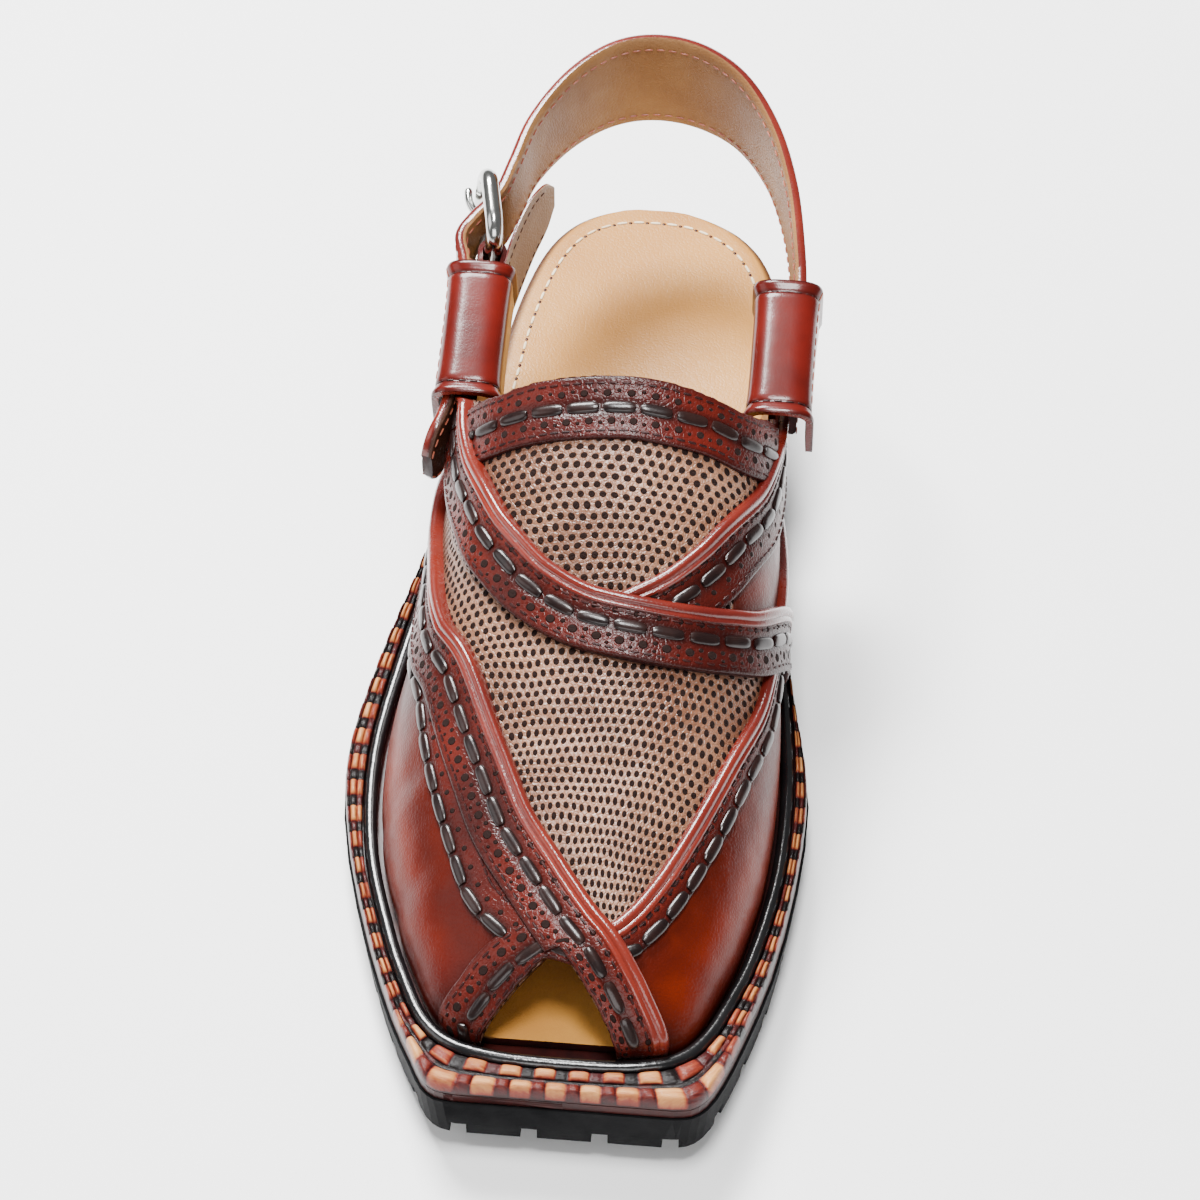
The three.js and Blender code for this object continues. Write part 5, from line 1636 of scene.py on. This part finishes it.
    def _insole_stitches(self, skin: Skin) -> None:
        """Pale stitches a little inside the insole's edge, round the heel."""
        share = np.linspace(0, 0.42, 200)
        rim = np.concatenate([outline(-1, share)[::-1], outline(1, share)[1:]])
        line = resample(averaged(offset_chain(resample(rim, 1.0), self.SEAM_INSET), 15), self.SEAM_PITCH)
        points = np.column_stack([line, insole_top(line[:, 1]) - self.bowl(line[:, 0], line[:, 1]) + 0.08])
        axes = axes_along(directions(points), UPWARDS)
        skin.copies(bead_shape(3.0, 0.8, 0.7, 3.0, 7, 8), points, axes, slot=2)
        between = (points[1:] + points[:-1]) / 2 - (0.0, 0.0, 0.05)
        skin.copies(bead_shape(1.1, 0.9, 0.25, 2.0, 5, 8), between, axes[1:], slot=1)

    def smoothed(self, shop: Workshop, node: str, finish: Finish) -> None:
        """A welded copy of a node with smooth sides, in place of the node.

        Args:
            shop: makes the finish.
            node: the node's name.
            finish: its finish.
        """
        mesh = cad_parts[node].data.copy()
        mesh.materials.clear()
        mesh.materials.append(shop.finish(finish))
        piece = shown(node + "_dressed", mesh)
        weld = piece.modifiers.new("weld", "WELD")
        weld.merge_threshold = 1e-6
        evaluated = piece.evaluated_get(bpy.context.evaluated_depsgraph_get())
        welded = bpy.data.meshes.new_from_object(evaluated)
        piece.modifiers.clear()
        piece.data = welded
        welded.polygons.foreach_set("use_smooth", np.ones(len(welded.polygons), bool))
        welded.set_sharp_from_angle(angle=np.radians(28))
        shop.tie(piece, node)


# Heel strap, sleeves and buckle


class HeelWork:
    """The heel strap with its sleeves and comfort tab.

    OUTER_FACE and INNER_FACE are the strap's section: share down its height, share of its half thickness.
    SEAMS are its rows of stitches: share down, side. TIP is the length over which its free end is rounded.
    The rims of the sleeves swell by RIM_ROLL at ROLL_PLACE and sink by RIM_GROOVE at GROOVE_PLACE, both
    shares of the length. ARCH_POWER squares the arch. WAIST and SWELL are the sleeve's width at its middle
    and what the ends have more, in shares of its width. RIM holds the places of the sections at a rim.
    """

    OUTER_FACE = (
        (0.0, -0.25), (0.012, -0.72), (0.04, -0.98), (0.08, -0.9), (0.1, -0.74), (0.14, -0.8), (0.3, -0.86),
        (0.5, -0.88), (0.7, -0.86), (0.9, -0.8), (0.97, -0.66), (1.0, -0.3),
    )
    INNER_FACE = (
        (1.0, 0.3), (0.97, 0.66), (0.9, 0.8), (0.7, 0.86), (0.5, 0.88), (0.3, 0.86), (0.1, 0.8), (0.03, 0.66),
        (0.0, 0.25),
    )
    SEAMS = ((0.16, -1), (0.92, -1), (0.12, 1), (0.9, 1))
    TIP = 7.0
    RIM_ROLL = 0.36
    ROLL_PLACE = 0.025
    RIM_GROOVE = 0.3
    GROOVE_PLACE = 0.085
    ARCH_POWER = 0.66
    WAIST = 0.965
    SWELL = 0.085
    RIM = np.array([0, 0.008, 0.018, 0.032, 0.046, 0.06, 0.072, 0.08, 0.088, 0.096, 0.108])
    STITCH_WIDTH = 0.55
    STITCH_HEIGHT = 0.5

    def strip(self, table: Array, tops: Array, heights: Array, step: float,
              ) -> tuple[Array, Array, Array, Array]:
        """A strip on edge along a plan path.

        Args:
            table: rows of across and along.
            tops: how far its top lies under the strap's line, for each row.
            heights: its height for each row.
            step: distance between its sections.

        Returns:
            Points of its top line, side directions, heights and distances along.
        """
        place = np.linspace(0, len(table) - 1, 40 * len(table))
        path = spline_rows(table[:, :2], place) * (HALF_BALL, LENGTH)
        travelled = lengths_along(path)
        u = np.linspace(0, travelled[-1], int(travelled[-1] / step) + 1)
        at = np.interp(u, travelled, place)
        path = read_rows(u, travelled, path)
        side = np.column_stack([right_of(path), np.zeros(len(u))])
        top = strap_top(path[:, 1]) - spline(tops, at)
        points = np.column_stack([path, top])
        return points, side, spline(heights, at), u

    def hung(self, points: Array, side: Array, height: Array, down: Array | float,
             out: Array | float) -> Array:
        """A sheet under a line of points.

        Args:
            points: the line.
            side: its side directions.
            height: the sheet's height at each point.
            down: share of the height of each column.
            out: distance along side of each column.

        Returns:
            Points, with a column for each value of down.
        """
        down, out = np.atleast_1d(down), np.atleast_1d(out)
        grid = points[:, None, :] + side[:, None, :] * out[None, :, None]
        grid[..., 2] -= height[:, None] * down[None, :]
        return grid

    def heel_strap(self, shop: Workshop) -> None:
        """The heel strap: a rounded flat section carried round the heel, lined inside, piped on its top."""
        heights = HEEL_STRAP[:, 2] * HEEL_STRAP_HEIGHT
        points, side, height, u = self.strip(HEEL_STRAP, heights * 0, heights, 1.2)
        tip = np.sqrt(1 - (1 - np.clip((u + 0.6) / self.TIP, 0, 1)) ** 2)
        points[:, 2] -= height * (1 - tip) / 2
        height = height * tip
        half = STRAP_THICKNESS / 2
        faces = [np.array(section).T for section in (self.OUTER_FACE, self.INNER_FACE)]
        out_grid, in_grid = (self.hung(points, side, height, down, out * half) for down, out in faces)
        skin = Skin()
        down = faces[0][0]
        shade = 0.35 * smoothstep(np.minimum(down, 1 - down), 0.12, 0.0)[None, :] * np.ones((len(u), 1))
        skin.grid(out_grid[:, 4:], slot=0, shade=shade[:, 4:], flip=True)
        skin.grid(out_grid[:, :5], slot=1, flip=True)
        tail = 0.92 * smoothstep(u, 40.0, 30.0)[:, None] * np.ones((1, len(self.INNER_FACE)))
        skin.grid(in_grid, slot=2, shade=tail, flip=True)
        for a, b in ((out_grid[:, -1], in_grid[:, 0]), (in_grid[:, -1], out_grid[:, 0])):
            skin.grid(np.stack([a, b], axis=1), slot=1, flip=True)
        for row, flip in ((0, False), (-1, True)):
            skin.cap(np.concatenate([out_grid[row], in_grid[row]]), slot=3, flip=flip)
        for share, sign in self.SEAMS:
            line = self.hung(points, side, height, share, sign * half * 0.86)[:, 0]
            self.stitches(skin, line, side * sign, 4, 3.2, 2.2)
        finishes = [Finish.SLEEVE, Finish.PIPING, Finish.LINING, Finish.EDGE, Finish.RED_THREAD]
        shop.hang(skin, "heel_strap_leather", finishes, "heel_strap")

    def stitches(self, skin: Skin, line: Array, up: Array, slot: int, pitch: float, length: float) -> None:
        """Adds stitches along a line of points, standing out along up."""
        travelled = lengths_along(line)
        at = np.arange(pitch * 0.5, travelled[-1], pitch)
        forward = unit(read_rows(at, travelled, np.gradient(line, axis=0)))
        axes = axes_along(forward, read_rows(at, travelled, up))
        shape = bead_shape(length, self.STITCH_WIDTH, self.STITCH_HEIGHT, 3.0, 6, 6)
        skin.copies(shape, read_rows(at, travelled, line), axes, slot=slot)

    def tab(self, shop: Workshop) -> None:
        """The comfort tab: a thin strip with a rounded tip, leather outside and lining towards the foot."""
        tops = TAB[:, 2] * TAB_HEIGHT
        heights = (TAB[:, 3] - TAB[:, 2]) * TAB_HEIGHT
        points, side, height, _ = self.strip(TAB, tops, heights, 0.9)
        down = np.concatenate([[0, 0.02, 0.06], np.linspace(0.12, 0.88, 12), [0.94, 0.98, 1]])
        half = TAB_THICKNESS / 2
        from_edge = np.clip(np.minimum(down, 1 - down) / 0.06, 0, 1)
        bulge = 0.7 * np.sqrt(1 - (1 - from_edge) ** 2) + 0.3
        outer, inner = (self.hung(points, side, height, down, sign * half * bulge) for sign in (-1, 1))
        skin = Skin()
        skin.shell(outer, inner, (0, 1, 2), flip=True)
        for share in (0.1, 0.9):
            line = self.hung(points, side, height, share, half * 0.95)[:, 0]
            self.stitches(skin, line[:-6], side[:-6], 3, 2.6, 1.8)
        finishes = [Finish.SLEEVE, Finish.TAB_LINING, Finish.PIPING, Finish.THREAD]
        shop.hang(skin, "comfort_tab_leather", finishes, "comfort_tab")

    def sleeve(self, shop: Workshop, name: str, node: str, side: int, middle: float) -> None:
        """A sleeve: an upturned U swept towards the heel, waisted and with turned rims.

        The arch is the curve |x/a|^n + |y/h|^n = 1, with n = 2 / ARCH_POWER. Along the length the half width
        swells by the fourth power of the distance from the middle.

        Args:
            shop: makes the finishes.
            name: the piece's name.
            node: the node that it replaces.
            side: -1 lateral or 1 medial.
            middle: its middle across the shoe.
        """
        w = np.concatenate([self.RIM, np.linspace(0.14, 0.86, 24), 1 - self.RIM[::-1]])
        turn = np.linspace(0, np.pi, 41)

        def bend(value: Array) -> Array:
            """A power of a sine or cosine that keeps its sign."""
            return np.sign(value) * np.abs(value) ** self.ARCH_POWER

        right = SLEEVE_OUTER_LEG if side > 0 else SLEEVE_INNER_LEG
        left = SLEEVE_INNER_LEG if side > 0 else SLEEVE_OUTER_LEG

        def section(half: float, arch: float) -> Array:
            """Plan of the U from its right foot over the arch to its left foot."""
            legs_right = np.column_stack([np.full(9, half), np.linspace(-right, -0.6, 9)])
            legs_left = np.column_stack([np.full(9, -half), np.linspace(-0.6, -left, 9)])
            arc = np.column_stack([half * bend(np.cos(turn)), arch * bend(np.sin(turn))])
            return np.concatenate([legs_right, arc, legs_left])

        back = unit(np.array([0.0, 1.0, STRAP_SLOPE]))
        up = np.cross((1.0, 0.0, 0.0), back)
        half_way = SLEEVE_FRONT + SLEEVE_LENGTH / 2
        origin = np.array([middle, half_way, float(strap_top(half_way)) + SLEEVE_ROOM - SLEEVE_ARCH])

        def hump(at: float, width: float) -> Array:
            """A Gaussian along the sleeve at the same distance from both rims."""
            return np.exp(-(((w - at) / width) ** 2)) + np.exp(-(((w - (1 - at)) / width) ** 2))

        def sheet(inset: float, arch: float) -> Array:
            """One face of the sleeve."""
            flat = section(SLEEVE_WIDTH / 2 - inset, arch)
            swell = (self.WAIST + self.SWELL * (2 * w - 1) ** 4)[:, None]
            groove = -self.RIM_GROOVE * hump(self.GROOVE_PLACE, 0.012)
            roll = self.RIM_ROLL * hump(self.ROLL_PLACE, 0.022)
            change = (groove + roll)[:, None] * (inset == 0)
            x = flat[None, :, 0] * swell + np.sign(flat[None, :, 0]) * change
            y = flat[None, :, 1] + change * (flat[None, :, 1] > 0)
            along = (w - 0.5)[:, None] * SLEEVE_LENGTH * np.ones_like(x)
            return origin + x[..., None] * (1.0, 0.0, 0.0) + y[..., None] * up + along[..., None] * back

        outer = sheet(0.0, SLEEVE_ARCH + SLEEVE_WALL)
        inner = sheet(SLEEVE_WALL, SLEEVE_ARCH)
        # Darker at the rims and towards the feet of the legs; the darkening in the groove beside each rim is
        # painted shade.
        from_rim = np.minimum(w, 1 - w)[:, None]
        groove = np.exp(-(((from_rim - self.GROOVE_PLACE) / 0.014) ** 2))
        shade = 0.6 * smoothstep(from_rim, 0.03, 0.0) + 0.6 * groove
        foot = lengths_along(section(SLEEVE_WIDTH / 2, SLEEVE_ARCH))
        low = smoothstep(np.minimum(foot, foot[-1] - foot), 9.0, 0.0)[None, :]
        skin = Skin()
        skin.shell(outer, inner, (0, 1, 2), shade=np.clip(shade + 0.5 * low, 0, 0.9), flip=True)
        for share in (self.GROOVE_PLACE, 1 - self.GROOVE_PLACE):
            k = int(np.argmin(np.abs(w - share)))
            normal = unit(np.cross(np.gradient(outer[k], axis=0), back))
            self.stitches(skin, outer[k], normal, 3, 3.0, 2.1)
        column = 12 if side > 0 else outer.shape[1] - 13
        normal = unit(np.cross(outer[:, column + 1] - outer[:, column - 1], back))
        self.stitches(skin, outer[4:-4, column], normal[4:-4], 4, 3.4, 2.6)
        finishes = [Finish.SLEEVE, Finish.LINING, Finish.PIPING, Finish.THREAD, Finish.RED_THREAD]
        shop.hang(skin, name, finishes, node)


class Buckle:
    """The steel frame and prong, and the leather fold that holds them.

    OUTWARD is how far the buckle turns out in a run of 1 to the heel, LEAN how far its top leans in.
    CURL is the prong's turn round the front bar in half turns, TIP the length over which it is rounded.
    """

    OUTWARD = 0.2
    LEAN = 0.09
    CURL = (1.1, -0.62)
    TIP = 1.2

    def __init__(self) -> None:
        """Sets the buckle's middle and its three directions: towards the heel, up and out."""
        height = float(strap_top(BUCKLE_ALONG)) - BUCKLE_DROP
        self.middle = np.array([BUCKLE_ACROSS, BUCKLE_ALONG, height])
        self.back = unit(np.array([-self.OUTWARD, 1.0, STRAP_SLOPE]))
        up = np.array([self.LEAN, 0.0, 1.0])
        self.up = unit(up - self.back * self.back[2])
        self.out = unit(np.cross(self.up, self.back))
        self.bar_back = (BUCKLE_LENGTH - BUCKLE_WIRE) / 2
        self.bar_up = (BUCKLE_HEIGHT - BUCKLE_WIRE) / 2

    def place(self, back: Array, up: Array, out: Array) -> Array:
        """Points from distances along the buckle's own directions."""
        return (self.middle + np.asarray(back)[..., None] * self.back + np.asarray(up)[..., None] * self.up
                + np.asarray(out)[..., None] * self.out)

    def frame(self, shop: Workshop) -> None:
        """The frame: a round wire along a rounded rectangle."""
        corner = BUCKLE_CORNER
        angle = np.linspace(0, np.pi / 2, 14)
        parts = []
        for sign_back, sign_up, turn in ((1, 1, 0), (-1, 1, 1), (-1, -1, 2), (1, -1, 3)):
            a = angle + turn * np.pi / 2
            parts.append(np.column_stack([sign_back * (self.bar_back - corner) + corner * np.cos(a),
                                          sign_up * (self.bar_up - corner) + corner * np.sin(a)]))
        flat = resample(np.concatenate([*parts, parts[0][:1]]), 1.0)[:-1]
        path = self.place(flat[:, 0], flat[:, 1], flat[:, 0] * 0)
        skin = Skin()
        skin.tube(wire(path, BUCKLE_WIRE / 2, self.out, 20, loop=True), loop=True)
        shop.hang(skin, "buckle_frame_steel", [Finish.STEEL], "buckle_frame")

    def prong(self, shop: Workshop) -> None:
        """The prong: a wire round the front bar and over the rear bar, with a blunt tip."""
        loop = BUCKLE_WIRE / 2 + GAP + PRONG_RADIUS
        angle = np.pi * np.linspace(*self.CURL, 40)
        curl = np.column_stack([-self.bar_back - loop * np.cos(angle), -loop * np.sin(angle)])
        bar, tip = (self.bar_back - PRONG_RISE, loop), (self.bar_back + PRONG_REACH, loop)
        knots = np.concatenate([curl[-1:], [(0, 0.2 * loop), bar, tip]])
        place = np.linspace(0, 3, 40)
        tail = spline_rows(knots, place)
        flat = resample(np.concatenate([curl, tail[1:]]), 0.6)
        path = self.place(flat[:, 0], flat[:, 0] * 0, flat[:, 1])
        travelled = lengths_along(path)
        left = travelled[-1] - travelled
        size = PRONG_RADIUS * np.sqrt(np.clip(1 - (1 - np.clip(left / self.TIP, 0, 1)) ** 2, 0.04, 1))
        skin = Skin()
        skin.tube(wire(path, size, self.up, 14))
        shop.hang(skin, "buckle_prong_steel", [Finish.STEEL], "buckle_prong")

    def chape(self, shop: Workshop) -> None:
        """The fold of leather round the front bar, in two bands with the prong's slot between them."""
        inner = BUCKLE_WIRE / 2 + GAP
        outer = inner + CHAPE_THICKNESS
        pinch = CHAPE_PINCH
        turn = -CHAPE_LEG * self.back[0] / self.back[1]
        angle = np.pi * np.linspace(-0.5, 0.5, 21)

        def fold(radius: float) -> Array:
            """One face of the fold in the plane of back and out."""
            arc = np.column_stack([radius * np.cos(angle), radius * np.sin(angle)])
            first = np.array([[-CHAPE_LEG, turn + pinch - radius]])
            final = np.array([[-CHAPE_LEG, turn + radius - pinch]])
            return np.concatenate([first, arc, final])

        skin = Skin()
        slot = PRONG_RADIUS + 2 * GAP
        for low, high in ((-CHAPE_HEIGHT / 2, -slot), (slot, CHAPE_HEIGHT / 2)):
            up = np.array([low, low + 0.3, high - 0.3, high])
            faces = []
            for radius in (outer, inner):
                flat = fold(radius)
                back, out = flat[None, :, 0] - self.bar_back, flat[None, :, 1]
                faces.append(self.place(*np.broadcast_arrays(back, up[:, None], out)))
            skin.shell(faces[0], faces[1], (0, 0, 0))
        shop.hang(skin, "chape_leather", [Finish.SLEEVE], "chape")


# The picture


class Studio:
    """Floor, light and camera, in metres.

    The camera stands at CAMERA and looks at AIM; LENS is in millimetres. LIGHTS holds name, place, width,
    height and power in watts, all turned to SHOE. SURROUND is the strength of the even light from all round.
    """

    CAMERA = (0.0655, -0.7016, 0.8626)
    AIM = (0.001, 0.012, 0.022)
    LENS = 127.0
    SURROUND = 0.22
    SHOE = (0.0, 0.0, 0.03)
    LIGHTS = (
        ("main", (-0.38, 0.72, 1.2), 0.55, 0.45, 70.0),
        ("overhead", (0.02, -0.12, 1.5), 0.3, 0.5, 32.0),
        ("left_fill", (-1.3, -0.3, 0.9), 1.0, 0.9, 7.0),
        ("front_fill", (0.1, -1.5, 0.8), 1.2, 0.7, 14.0),
    )

    def floor(self) -> None:
        """A plain pale floor."""
        mesh = bpy.data.meshes.new("floor")
        mesh.from_pydata([(-3, -3, 0), (3, -3, 0), (3, 3, 0), (-3, 3, 0)], [], [(0, 1, 2, 3)])
        bench = NodeBench("pale_floor")
        bench.put(bench.shader, "Base Color", rgb(0.93, 0.93, 0.93))
        bench.gloss(0.6)
        mesh.materials.append(bench.material)
        shown("floor", mesh)

    def softbox(self, name: str, place: tuple[float, float, float], width: float, height: float,
                power: float) -> None:
        """A rectangular soft light, turned to the shoe.

        Args:
            name: its name.
            place: where it hangs, in metres.
            width: its width in metres.
            height: its height in metres.
            power: its power in watts.
        """
        light = bpy.data.lights.new(name, "AREA")
        light.shape = "RECTANGLE"
        light.size, light.size_y, light.energy = width, height, power
        lamp = shown(name, light)
        lamp.location = place
        lamp.rotation_euler = (Vector(self.SHOE) - Vector(place)).to_track_quat("-Z", "Y").to_euler()

    def lights(self) -> None:
        """A main softbox above the heel, one overhead, and two wide, weak fills at the left and the front."""
        for light in self.LIGHTS:
            self.softbox(*light)
        world = bpy.data.worlds.new("surround")
        world.use_nodes = True
        world.node_tree.nodes["Background"].inputs[0].default_value = rgb(1.0, 1.0, 1.0)
        world.node_tree.nodes["Background"].inputs[1].default_value = self.SURROUND
        bpy.context.scene.world = world

    def camera(self) -> None:
        """The camera where the photograph was taken from, turned to the one shoe."""
        lens = bpy.data.cameras.new("camera")
        lens.lens = self.LENS
        lens.sensor_width = 36.0
        camera = shown("camera", lens)
        camera.location = self.CAMERA
        view = Vector(self.AIM) - camera.location
        camera.rotation_euler = view.to_track_quat("-Z", "Y").to_euler()
        bpy.context.scene.camera = camera


def main() -> None:
    """Builds the chappal's pieces in order, then the picture."""
    logging.basicConfig(level=logging.INFO, format="%(name)s %(message)s")
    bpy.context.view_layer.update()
    shop = Workshop()
    studio = Studio()
    studio.camera()
    studio.floor()
    studio.lights()
    last = Last()
    sole = Sole(last)
    sole.smoothed(shop, "outsole", Finish.RUBBER)
    sole.smoothed(shop, "midsole", Finish.EDGE)
    sole.insole(shop)
    sole.rand(shop)
    sole.welt(shop)
    Upper(last).build(shop)
    for plan in STRAPS:
        Strap(last, plan, StrapSizes()).build(shop)
    heel = HeelWork()
    heel.heel_strap(shop)
    heel.tab(shop)
    heel.sleeve(shop, "lateral_sleeve_leather", "sleeve_lateral", -1, SLEEVE_LATERAL)
    heel.sleeve(shop, "medial_sleeve_leather", "sleeve_medial", 1, SLEEVE_MEDIAL)
    buckle = Buckle()
    buckle.frame(shop)
    buckle.prong(shop)
    buckle.chape(shop)


if __name__ == "__main__":
    main()
